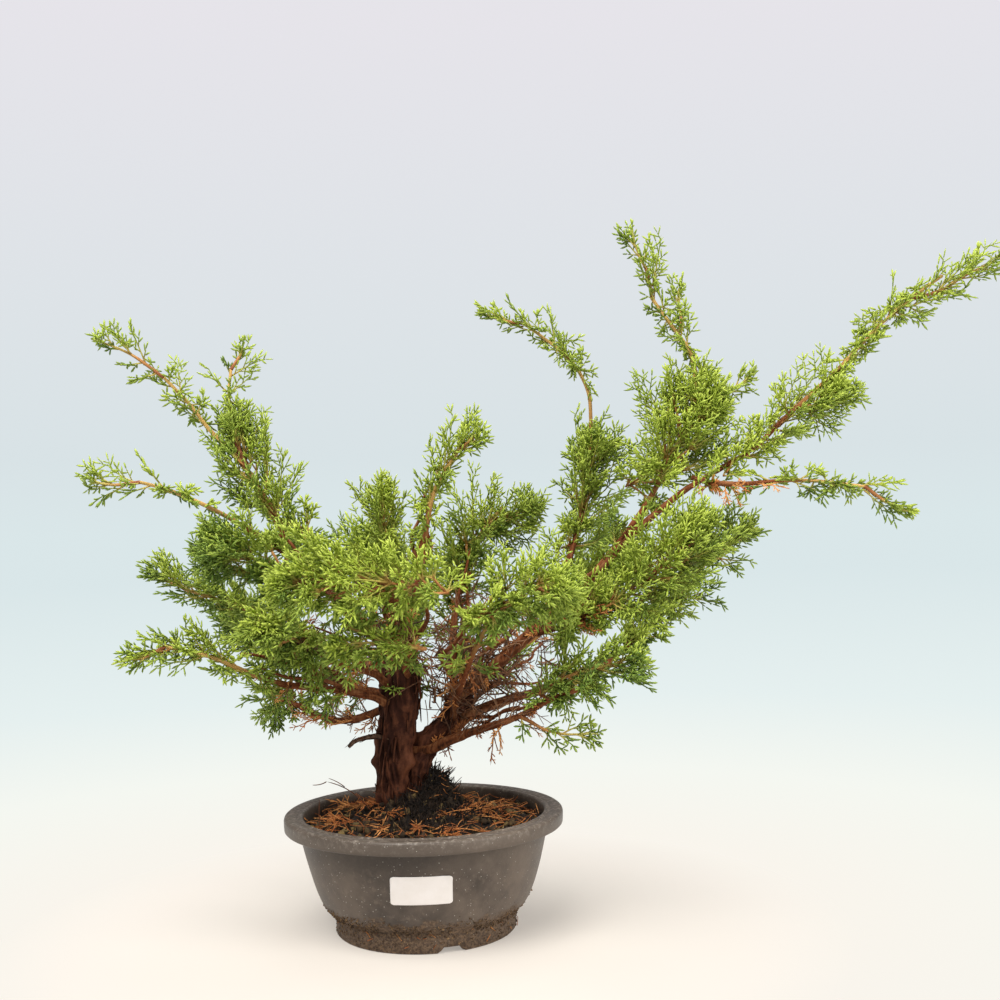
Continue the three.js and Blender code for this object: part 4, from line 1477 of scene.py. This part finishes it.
# ---- Foliage ----
@dataclass(frozen=True)
class Spray:
    """How a feathery spray is laid out: branchlets along a twig, and stubby fingers along each branchlet."""

    branchlets: int = 8
    fingers: int = 5
    twig_radius: float = 0.00095
    cord_radius: float = 0.00066
    finger_radius: float = 0.00088
    finger_length: float = 0.0102

    def grow(
        self,
        start: Array,
        heading: Array,
        length: Array,
        face: Array,
        bend: Array,
        tone_and_shade: Array,
        rng: Draws,
    ) -> Skin:
        """Grows many sprays at once.

        A twig runs as start + heading L u + bend L u^2. Branchlets leave it on alternate sides at 34 to 56
        degrees in the plane square to face, longest a third of the way along. Fingers leave each branchlet
        on alternate sides at 28 to 54 degrees, nearly in the same plane, and the last carries its line on.

        Args:
            start: Feet of the twigs (n, 3).
            heading: Unit directions (n, 3).
            length: Lengths (n,).
            face: Unit normals of the sprays' planes (n, 3).
            bend: How far each twig curves by its tip, as a share of its length (n, 3).
            tone_and_shade: Painted vigour (n,).
            rng: Source of the small differences.

        Returns:
            All sprays as one skin.
        """
        n, k = len(start), self.branchlets
        long = length[:, None]
        middle, end = start + heading * long * 0.5, start + (heading + bend) * long
        thick = (self.twig_radius, self.cord_radius * 0.7)
        twigs = bent_cords(start, middle, end, thick, 5, (0.18, 0.60), tone_and_shade)
        u = 0.12 + 0.86 * (np.arange(k)[None, :] + rng.uniform(0.2, 0.8, (n, k))) / k
        side = np.where((np.arange(k)[None, :] + rng.integers(0, 2, (n, 1))) % 2 == 0, 1.0, -1.0)
        along = heading[:, None] * u[..., None] + bend[:, None] * u[..., None] ** 2
        foot = start[:, None] + along * long[:, None]
        tangent = unit(heading[:, None] + 2 * bend[:, None] * u[..., None])
        flank = unit(np.cross(face[:, None], tangent))
        angle = np.radians(rng.uniform(34, 56, (n, k)) - 16 * u)
        out = unit(
            tangent * np.cos(angle)[..., None]
            + flank * (side * np.sin(angle))[..., None]
            + face[:, None] * rng.normal(0, 0.34, (n, k, 1))
        )
        reach = long * (0.12 + 0.26 * (1 - u) ** 0.8) * np.minimum(1, (u + 0.16) / 0.4)
        reach = np.maximum(reach * rng.uniform(0.6, 1.35, (n, k)), 0.0030).ravel()
        foot, out, tangent = (a.reshape(n * k, 3) for a in (foot, out, tangent))
        branchlet_tone_and_shade = np.clip(np.repeat(tone_and_shade, k) + rng.normal(0, 0.09, n * k), 0, 1)
        tip = foot + (out + tangent * 0.16) * reach[:, None]
        low = 0.26 + 0.26 * u.ravel()
        middle = foot + out * reach[:, None] * 0.5
        thick = (self.cord_radius, self.cord_radius * 0.8)
        cords = bent_cords(foot, middle, tip, thick, 2, (low, low + 0.16), branchlet_tone_and_shade)
        if self.fingers == 0:
            return Skin.joined([twigs, cords])
        fingers = self.fingers_on(foot, tip, np.repeat(face, k, axis=0), low, branchlet_tone_and_shade, rng)
        return Skin.joined([twigs, cords, fingers])

    def fingers_on(
        self, foot: Array, tip: Array, face: Array, low: Array, branchlet_tone_and_shade: Array, rng: Draws
    ) -> Skin:
        """Fingers along straight branchlets, on alternate sides, the last one along the branchlet's own line.

        Args:
            foot: Feet of the branchlets (m, 3).
            tip: Their tips (m, 3).
            face: Unit normals of their planes (m, 3).
            low: Painted growth at their feet (m,).
            branchlet_tone_and_shade: Painted vigour (m,).
            rng: Source of the small differences.

        Returns:
            All fingers as one skin.
        """
        m, j = len(foot), self.fingers
        line = unit(tip - foot)
        flank = unit(np.cross(face, line))
        v = np.broadcast_to(0.22 + 0.78 * (np.arange(j)[None, :] + 0.5) / (j - 0.5), (m, j))
        side = np.where((np.arange(j)[None, :] + rng.integers(0, 2, (m, 1))) % 2 == 0, 1.0, -1.0)
        angle = np.radians(rng.uniform(28, 54, (m, j)))
        angle[:, -1] = np.radians(4)
        axis = (
            line[:, None] * np.cos(angle)[..., None]
            + flank[:, None] * (side * np.sin(angle))[..., None]
            + face[:, None] * (rng.normal(0, 0.34, (m, j)) * np.sin(angle) * 1.6)[..., None]
        )
        place = foot[:, None] + (tip - foot)[:, None] * (v * 0.97)[..., None]
        size = self.finger_length * rng.uniform(0.65, 1.2, (m, j)) * (1.1 - 0.35 * v)
        size[:, -1] *= 1.1
        total = m * j
        base = np.clip(low[:, None] + 0.12 + 0.16 * v, 0.3, 0.8).ravel()
        return blunt_fingers(
            place.reshape(total, 3),
            unit(axis.reshape(total, 3)),
            size.ravel(),
            self.finger_radius * rng.uniform(0.8, 1.2, total),
            (base, np.clip(base + rng.uniform(0.18, 0.5, total), 0, 1)),
            np.repeat(branchlet_tone_and_shade, j),
        )


@dataclass(frozen=True)
class Habit:
    """How a plume carries its sprays.

    lift is how far they curve up by their tips (down where negative), crowding scales their number, vigour is
    the middle of their painted tone, partly the plume's own green and partly painted shade, set low on plumes
    that sit in shade, and reach scales their length.
    """

    lift: float = 0.22
    crowding: float = 1.0
    tone_and_shade: float = 0.64
    reach: float = 1.0


@dataclass
class Foliage:
    """The leafy plumes, each grown round the middle line of its CAD solid."""

    wood: Wood
    finish: FoliageFinish = field(default_factory=FoliageFinish)
    sprays: tuple[tuple[float, Spray], ...] = (
        (0.020, Spray(branchlets=4, fingers=3, finger_length=0.0086, finger_radius=0.00108)),
        (0.028, Spray(branchlets=5, fingers=3, finger_length=0.0100, finger_radius=0.00102)),
        (0.038, Spray(branchlets=8, fingers=3)),
        (1.0, Spray(branchlets=10, fingers=4)),
    )
    inner_spray: Spray = Spray(branchlets=7, fingers=3)
    inner_spacing: float = 0.009
    inner_ring: Span = (0.045, 0.19)
    inner_heights: Span = (0.20, 0.36)
    crown_middle: float = 0.03
    volume_per_spray: float = 2.35e-6
    spray_spacing: float = 0.0100
    shortest_spray: float = 0.010
    finger_reach: float = 0.004
    # The habits' middle tones are partly painted light and shade: high on plumes at the front and top, low on
    # those at the back, low down or inside.
    habits: dict[str, Habit] = field(
        default_factory=lambda: {
            "front_crown": Habit(lift=-0.02, tone_and_shade=0.93),
            "front_lower_plume": Habit(lift=-0.12, tone_and_shade=0.71),
            "left_upper_crown": Habit(tone_and_shade=0.49),
            "left_middle_crown": Habit(tone_and_shade=0.47, crowding=1.1, reach=1.1),
            "left_back_plume": Habit(tone_and_shade=0.47),
            "left_front_plume": Habit(lift=0.0, tone_and_shade=0.65),
            "left_low_plume": Habit(lift=0.05, tone_and_shade=0.60),
            "left_lowest_plume": Habit(lift=-0.2, tone_and_shade=0.36),
            "left_rear_plume": Habit(tone_and_shade=0.39, crowding=1.15, reach=1.1),
            "centre_rear_plume": Habit(tone_and_shade=0.43, crowding=1.3, reach=1.15),
            "centre_back_plume": Habit(tone_and_shade=0.50, crowding=1.25, reach=1.15),
            "centre_spire": Habit(tone_and_shade=0.80, crowding=1.2, reach=1.1),
            "centre_leader_plume": Habit(tone_and_shade=0.69),
            "right_front_crown": Habit(lift=0.02, tone_and_shade=0.71, crowding=1.15, reach=1.1),
            "right_lowest_plume": Habit(lift=-0.1, tone_and_shade=0.40),
            "right_low_sprig": Habit(lift=-0.25, tone_and_shade=0.36),
            "right_low_crown": Habit(lift=0.1, tone_and_shade=0.44),
            "right_middle_plume": Habit(tone_and_shade=0.72, crowding=1.1, reach=1.1),
            "right_rear_plume": Habit(tone_and_shade=0.34),
            "right_end_plume": Habit(lift=-0.12, tone_and_shade=0.56),
            "long_limb_crown": Habit(tone_and_shade=0.90),
            "long_limb_tip": Habit(tone_and_shade=0.77),
            "upright_low_plume": Habit(tone_and_shade=0.64, crowding=0.95, reach=1.2),
            "upright_tip": Habit(tone_and_shade=0.66, crowding=1.35, reach=1.15),
            "right_crown": Habit(tone_and_shade=0.84, crowding=0.95, reach=1.15),
        }
    )

    def __post_init__(self) -> None:
        """Lists places along the middle of every limb."""
        shares = np.linspace(0, 1, 90)
        self.wood_places = np.concatenate([route.at(shares)[0] for route in self.wood.routes.values()])

    def names(self) -> list[str]:
        """Names of the foliage nodes."""
        return [row["node"] for row in frame["record"]["subparts"] if row["material_slot"] == "foliage"]

    def build(self) -> list[bpy.types.Object]:
        """Makes one piece for each plume, and one for the sprays inside the crown."""
        material = self.finish.material()
        pieces = []
        for number, name in enumerate(self.names()):
            skin = self.plume(name, np.random.default_rng(500 + number))
            piece = skin.piece(f"{name}_sprays", material, "foliage", name)
            painted_map(piece, skin)
            pieces.append(piece)
        pieces.append(self.inner_sprays().piece("inner_sprays", material, "foliage"))
        return pieces

    def inner_sprays(self) -> Skin:
        """Shaded sprays on the limbs' inner part, short of their plumes: about one for each 9 mm of limb."""
        rng = np.random.default_rng(640)
        near, far = self.inner_ring
        low, high = self.inner_heights
        skins = []
        for route in self.wood.routes.values():
            centre, tangent, _ = route.at(rng.uniform(0.15, 0.95, int(route.length() / self.inner_spacing)))
            sideways = np.hypot(centre[:, 0] - self.crown_middle, centre[:, 1])
            inner = (sideways > near) & (sideways < far) & (centre[:, 2] > low) & (centre[:, 2] < high)
            centre, tangent = centre[inner], tangent[inner]
            number = len(centre)
            if number == 0:
                continue
            heading = unit(tangent * 0.8 + rng.normal(0, 0.55, (number, 3)) + (0, 0.15, 0.1))
            face = facing_any_way(heading, rng)
            bend = rng.normal(0, 0.12, (number, 3)) - UP * 0.1
            length = rng.uniform(0.018, 0.042, number)
            # Painted shade: these inner sprays take a low tone, as in the crown's shade.
            tone_and_shade = rng.uniform(0.08, 0.62, number)
            skins.append(self.inner_spray.grow(centre, heading, length, face, bend, tone_and_shade, rng))
        return Skin.joined(skins)

    def plume(self, name: str, rng: Draws) -> Skin:
        """Grows one plume.

        Sprays leave the middle line in flat fans of one to four that share a foot, a plane and a shade. The
        fans follow the golden angle, at 46 to 64 degrees at the base (more on a stout plume) and nearly
        along the line at the tip, and the sprays are long enough to reach the CAD solid's surface.

        Args:
            name: The CAD node.
            rng: Source of the small differences.

        Returns:
            The plume's skin, its stem among it.
        """
        habit = self.habits.get(name, Habit())
        solid = Route.of_node(name)
        _, _, radii = solid.at(np.linspace(0, 1, 40))
        volume = math.pi * float((radii**2).mean()) * solid.length()
        count = int(habit.crowding * max(volume / self.volume_per_spray, solid.length() / self.spray_spacing))
        stoutness = float(eased(0.018, 0.032, radii.max()))
        route, stem = self.spine(solid)
        members = 1 + round(3 * stoutness)
        fans = -(-count // members)
        count = fans * members
        t = np.repeat(0.04 + 0.96 * ((np.arange(fans) + rng.uniform(0, 1, fans)) / fans) ** 0.92, members)
        _, _, radius = route.at(t)
        radius = np.maximum(radius, 0.010)
        lean = np.repeat(rng.normal(0, 13, fans), members)
        angle = np.radians(46 + 18 * stoutness - (22 + 24 * stoutness) * t**1.5 + lean)
        offset = radius * np.repeat(rng.uniform(0.0, 0.6, fans), members) * (radius > 0.018) * stoutness
        length = (radius * 1.04 + 0.001 - offset) / np.maximum(np.sin(angle), 0.5)
        ragged = 1 + (rng.choice([0.5, 0.75, 1.05, 1.4], fans) - 1) * (0.6 + 0.4 * stoutness)
        length = length * np.repeat(ragged, members) * rng.uniform(0.85, 1.1, count) * habit.reach
        length = np.clip(length, 0.012, 0.058)
        left = (1 - t) * route.length()
        length = np.minimum(length, self.shortest_spray + 0.75 * left)
        offset = np.minimum(offset, 0.5 * left)
        t = np.minimum(t, 1 - (length * np.cos(angle) + 0.4 * offset + self.finger_reach) / route.length())
        centre, tangent, _ = route.at(t)
        first, second = across(tangent)
        turn = np.repeat(np.arange(fans) * GOLDEN_ANGLE + rng.normal(0, 0.35, fans), members)
        radial = first * np.cos(turn)[:, None] + second * np.sin(turn)[:, None]
        heading = unit(tangent * np.cos(angle)[:, None] + radial * np.sin(angle)[:, None])
        start = centre + radial * offset[:, None] * 0.8 + tangent * offset[:, None] * 0.4
        face = unit(UP * 0.6 + np.repeat(rng.normal(0, 0.6, (fans, 3)), members, axis=0))
        face = unit(face - (face * heading).sum(axis=1, keepdims=True) * heading)
        swing = np.tile(np.arange(members) - (members - 1) / 2, fans) * 0.50 + rng.normal(0, 0.16, count)
        heading = heading * np.cos(swing)[:, None] + np.cross(face, heading) * np.sin(swing)[:, None]
        heading = unit(heading + rng.normal(0, 0.07, (count, 3)))
        length = length * (1 - 0.22 * np.abs(swing))
        face = unit(face - (face * heading).sum(axis=1, keepdims=True) * heading)
        bend = UP * (habit.lift + rng.normal(0, 0.10, (count, 1))) + tangent * 0.10
        bend = bend + rng.normal(0, 0.08, (count, 3))
        tip = start + (heading + bend) * length[:, None]
        low, high = (np.array(corner) for corner in CAD_BOX)
        over = np.maximum(tip - high, low - tip).max(axis=1)
        length = np.maximum(length - 1.3 * np.maximum(over, 0), self.shortest_spray)
        # Painted light and shade: sprays that face up are painted brighter and those low in the crown darker,
        # on top of each fan's own tone.
        shade = 0.34 * (radial @ UP) - 2.4 * np.maximum(0.27 - start[:, 2], 0)
        shade = shade + np.repeat(rng.normal(0, 0.17, fans), members) + rng.normal(0, 0.06, count)
        tone_and_shade = np.clip(habit.tone_and_shade + shade, 0.02, 0.98)
        skins = []
        shortest = 0.0
        for longest, spray in self.sprays:
            pick = (length >= shortest) & (length < longest)
            shortest = longest
            if pick.any():
                parts = (part[pick] for part in (start, heading, length, face, bend, tone_and_shade))
                skins.append(spray.grow(*parts, rng))
        back, _, _ = route.at(np.maximum(t - 0.7 * offset / route.length(), 0))
        middle = (back + start) / 2 + tangent * 0.001
        stalks = bent_cords(back, middle, start + heading * 0.001, (0.0012, 0.0009), 3, (0.05, 0.18), tone_and_shade)
        wood = bark_tube(stem, 60, 7, 0.06, rng, 0.38)
        wood.tone_and_shade[:] = habit.tone_and_shade
        return Skin.joined([wood, stalks, *skins])

    def spine(self, solid: Route) -> tuple[Route, Route]:
        """The line that a plume's sprays leave, and the woody stem of its own.

        Wherever a limb runs within 0.6 of the plume's radius from its axis, the line follows the limb, and
        past the last such place it follows the axis. The stem is that last part, from the limb on, its
        radius thinning from 1.7 mm to 0.7 mm.

        Args:
            solid: The axis of the plume's CAD solid.

        Returns:
            The line for sprays, with the plume's radii, and the stem.
        """
        axis, _, girth = solid.at(np.linspace(0, 1, 49))
        gaps = np.linalg.norm(axis[:, None] - self.wood_places[None], axis=2)
        nearest = self.wood_places[gaps.argmin(axis=1)]
        carried = gaps.min(axis=1) < 0.6 * girth
        line = np.where(carried[:, None], nearest, axis)
        line[1:-1] = (line[:-2] + 2 * line[1:-1] + line[2:]) / 4
        last = int(np.flatnonzero(carried).max()) if carried.any() else 0
        ahead = min(last + 4, 46)
        own = np.concatenate([nearest[last : last + 1], axis[ahead::3]])
        stem = Route(own, np.linspace(0.0017, 0.0007, len(own)))
        return Route(line[::3], girth[::3]), stem


@dataclass
class DeadTwigs:
    """Bare brown twigs and withered sprigs in the shade inside the crown."""

    wood: Wood
    finish: SoilFinish = SoilFinish(
        "dead_twigs",
        ((0.0, (0.085, 0.036, 0.017, 1)), (0.6, (0.260, 0.115, 0.050, 1)), (1.0, (0.480, 0.260, 0.130, 1))),
        roughness=0.8,
        depth=0.0002,
        stain=0.2,
    )
    dry: SoilFinish = SoilFinish(
        "withered_foliage",
        ((0.0, (0.180, 0.055, 0.018, 1)), (0.5, (0.600, 0.205, 0.052, 1)), (1.0, (0.820, 0.400, 0.125, 1))),
        roughness=0.65,
        depth=0.0002,
        stain=0.15,
    )
    bare: Spray = Spray(branchlets=6, fingers=0, twig_radius=0.0008, cord_radius=0.0004)
    withered: Spray = Spray(
        branchlets=5, fingers=3, twig_radius=0.0006, finger_length=0.0062, finger_radius=0.00055
    )

    def build(self) -> list[bpy.types.Object]:
        """Makes the bare twigs and the withered sprigs."""
        material, orange = self.finish.material(), self.dry.material()
        rng = np.random.default_rng(901)
        twigs = self.along_limbs(self.bare, 15, (0.014, 0.046), 0.1, rng)
        sprigs = self.along_limbs(self.withered, 13, (0.010, 0.022), -0.1, rng)
        return [
            Skin.joined([twigs, self.tangle(rng)]).piece("bare_twigs", material, "dead_wood"),
            Skin.joined([sprigs, self.outer_sprigs(rng)]).piece("withered_sprigs", orange, "dead_wood"),
            self.branches(rng).piece("inner_branches", self.wood.limb.material(), "limb_bark"),
        ]

    def outer_sprigs(self, rng: Draws) -> Skin:
        """A few withered sprigs hanging at the foot of the last side shoot on the right."""
        number = 9
        centre, tangent, _ = self.wood.routes["right_end_limb"].at(rng.uniform(0.05, 0.4, number))
        heading = unit(tangent - UP * 0.5 + rng.normal(0, 0.45, (number, 3)))
        face = facing_any_way(heading, rng)
        length, bend = rng.uniform(0.016, 0.030, number), rng.normal(0, 0.2, (number, 3))
        return self.withered.grow(centre, heading, length, face, bend, rng.uniform(0.3, 1, number), rng)

    def branches(self, rng: Draws) -> Skin:
        """Slender side branches near the trunk: each leaves a limb low down and arches beside it."""
        skins = []
        for name in self.wood.limbs:
            route = self.wood.routes[name]
            reach = min(1.0, 0.20 / route.length())
            number = 2 if route.length() > 0.12 else 0
            for start, span in zip(rng.uniform(0.02, 0.25, number), rng.uniform(0.35, 0.65, number)):
                places, tangents, _ = route.at(reach * (start + span * np.linspace(0, 1, 6)))
                if np.hypot(places[0, 0], places[0, 1]) > 0.10:
                    continue
                aside = unit(np.cross(tangents[2], rng.normal(0, 1, 3)))
                aside[2] = abs(aside[2])
                bow = np.array([0, 0.55, 0.9, 1.0, 0.8, 0.55])[:, None] * rng.uniform(0.010, 0.028)
                line = places + aside * bow + rng.normal(0, 0.0022, (6, 3)) * (bow > 0)
                radii = np.linspace(rng.uniform(0.0018, 0.0030), 0.0009, 6)
                skins.append(bark_tube(Route(line, radii), 50, 9, 0.12, rng, 0.55))
        return Skin.joined(skins)

    def along_limbs(
        self, spray: Spray, count: int, span: Span, lift: float, rng: Draws
    ) -> Skin:
        """Twigs leaning outwards along the limbs near the trunk.

        Args:
            spray: How each is laid out.
            count: How many places are tried on each limb; those far out or high up are left out.
            span: Shortest and longest length.
            lift: How far each curves up by its tip, as a share of its length.
            rng: Source of the differences.

        Returns:
            All of them as one skin.
        """
        skins = []
        for name in self.wood.limbs:
            t = rng.uniform(0.06, 0.8, count)
            centre, tangent, _ = self.wood.routes[name].at(t)
            inner = (np.hypot(centre[:, 0] - 0.01, centre[:, 1]) < 0.15) & (centre[:, 2] < 0.31)
            centre, tangent = centre[inner], tangent[inner]
            number = len(centre)
            if number == 0:
                continue
            heading = unit(tangent * 0.8 + UP * 0.25 + rng.normal(0, 0.7, (number, 3)))
            length = rng.uniform(*span, number)
            face = facing_any_way(heading, rng)
            bend = UP * lift + rng.normal(0, 0.45, (number, 3))
            skins.append(spray.grow(centre, heading, length, face, bend, rng.uniform(0, 1, number), rng))
        return Skin.joined(skins)

    def tangle(self, rng: Draws) -> Skin:
        """Curled dead shoots round the fork of the second trunk: cords bent well off their straight line."""
        count = 440
        line, _, _ = self.wood.routes["right_trunk"].at(rng.uniform(0.7, 1.0, count))
        near = np.clip(rng.normal(0, 1, (count, 3)), -1.5, 1.5)
        start = line + near * (0.016, 0.018, 0.020) + (0.008, 0.0, 0.042)
        start[::3] += near[::3] * (0.012, 0.012, 0.006) + (0.040, 0, 0.0)
        away = unit(rng.normal(0, 1, (count, 3)) + (0.3, 0, 0.3))
        end = start + away * rng.uniform(0.014, 0.045, (count, 1))
        middle = (start + end) / 2 + rng.normal(0, 0.010, (count, 3))
        thick = rng.uniform(0.0004, 0.0012, count)
        return bent_cords(start, middle, end, (thick, thick * 0.5), 7, (0.0, 1.0), rng.uniform(0, 0.8, count))


# ---- Studio ----
@dataclass
class Studio:
    """A pale floor, a soft sky of light, three softboxes and the camera in front of the pot."""

    distance: float = 1.2
    eye_height: float = 0.36
    lens: float = 47.45
    turned_right: float = 3.6
    looking_up: float = 1.1
    leaning: float = 1.4
    ambient: float = 0.36
    floor: StudioFinish = field(default_factory=StudioFinish)

    def build(self) -> None:
        """Makes the floor, the lights and the camera."""
        self.make_floor()
        self.make_sky()
        self.make_softbox("key", (-0.6, -1.2, 2.1), 1.5, 71.0, (1.0, 0.975, 0.93))
        self.make_softbox("fill", (1.6, -1.3, 0.9), 1.2, 23.0, (1.0, 0.97, 0.93))
        self.make_softbox("top", (0.2, 0.5, 2.2), 1.4, 22.0, (1.0, 1.0, 0.98))
        self.make_camera()

    def make_floor(self) -> None:
        """A wide disc at ground level, as rings of a polar grid."""
        rows, columns = 24, 96
        away = np.linspace(0.002, 9.0, rows)[:, None]
        angle = full_turn(columns)[None, :]
        ring = around_axis(away, angle, 0.0).reshape(-1, 3)
        mesh = bpy.data.meshes.new("floor")
        mesh.from_pydata(ring.tolist(), [], [*grid_faces(rows, columns, True).tolist(), list(range(columns))])
        mesh.materials.append(self.floor.material())
        floor = bpy.data.objects.new("floor", mesh)
        floor.location.z = -0.0002
        bpy.context.scene.collection.objects.link(floor)

    def make_sky(self) -> None:
        """A backdrop all round, cool at the horizon and paler above, that lights less than it shows."""
        world = bpy.data.worlds.new("sky")
        bpy.context.scene.world = world
        world.use_nodes = True
        graph = Graph(world.node_tree)
        upward = graph.add("SeparateXYZ", Vector=graph.add("TexCoord").outputs["Generated"]).outputs["Z"]
        tints = [(0.0, self.floor.horizon), (0.15, (0.690, 0.765, 0.790, 1)), (1.0, (0.790, 0.775, 0.820, 1))]
        back = world.node_tree.nodes["Background"]
        graph.join(graph.ramp(graph.span(upward, (0.0, 0.36)), tints), back.inputs["Color"])
        seen = graph.add("LightPath").outputs["Is Camera Ray"]
        graph.join(graph.span(seen, (0.0, 1.0), (self.ambient, 1.0)), back.inputs["Strength"])

    def make_softbox(self, name: str, place: Place, size: float, power: float, tint: Place) -> None:
        """A square area light aimed at the middle of the crown.

        Args:
            name: Name of the light.
            place: Where it hangs.
            size: Length of its side.
            power: Its power in watts.
            tint: Red, green and blue of its light.
        """
        light = bpy.data.lights.new(name, "AREA")
        light.energy, light.size, light.color = power, size, tint
        box = bpy.data.objects.new(name, light)
        box.location = place
        box.rotation_euler = (Vector((0.08, 0, 0.28)) - box.location).to_track_quat("-Z", "Y").to_euler()
        bpy.context.scene.collection.objects.link(box)

    def make_camera(self) -> None:
        """The camera straight in front of the pot, turned a little right and up and leaning slightly."""
        yaw, pitch, roll = (math.radians(a) for a in (self.turned_right, self.looking_up, self.leaning))
        camera = bpy.data.cameras.new("camera")
        camera.lens, camera.sensor_width, camera.clip_end = self.lens, 36.0, 50.0
        view = bpy.data.objects.new("camera", camera)
        stand = Matrix.Translation((0.0, -self.distance, self.eye_height))
        level = Matrix.Rotation(-yaw, 4, "Z") @ Matrix.Rotation(math.pi / 2 + pitch, 4, "X")
        aim = level @ Matrix.Rotation(-roll, 4, "Z")
        view.matrix_world = stand @ aim
        bpy.context.scene.collection.objects.link(view)
        bpy.context.scene.camera = view
        bpy.context.scene.view_settings.view_transform = "Standard"


def main() -> None:
    """Builds the studio, the pot, the soil, the wood and the foliage."""
    logging.basicConfig(level=logging.INFO, format="%(name)s %(message)s")
    Studio().build()
    pot = Pot()
    pot.build()
    Label(pot).build()
    Soil(pot).build()
    wood = Wood()
    wood.build()
    Foliage(wood).build()
    DeadTwigs(wood).build()


if __name__ == "__main__":
    main()
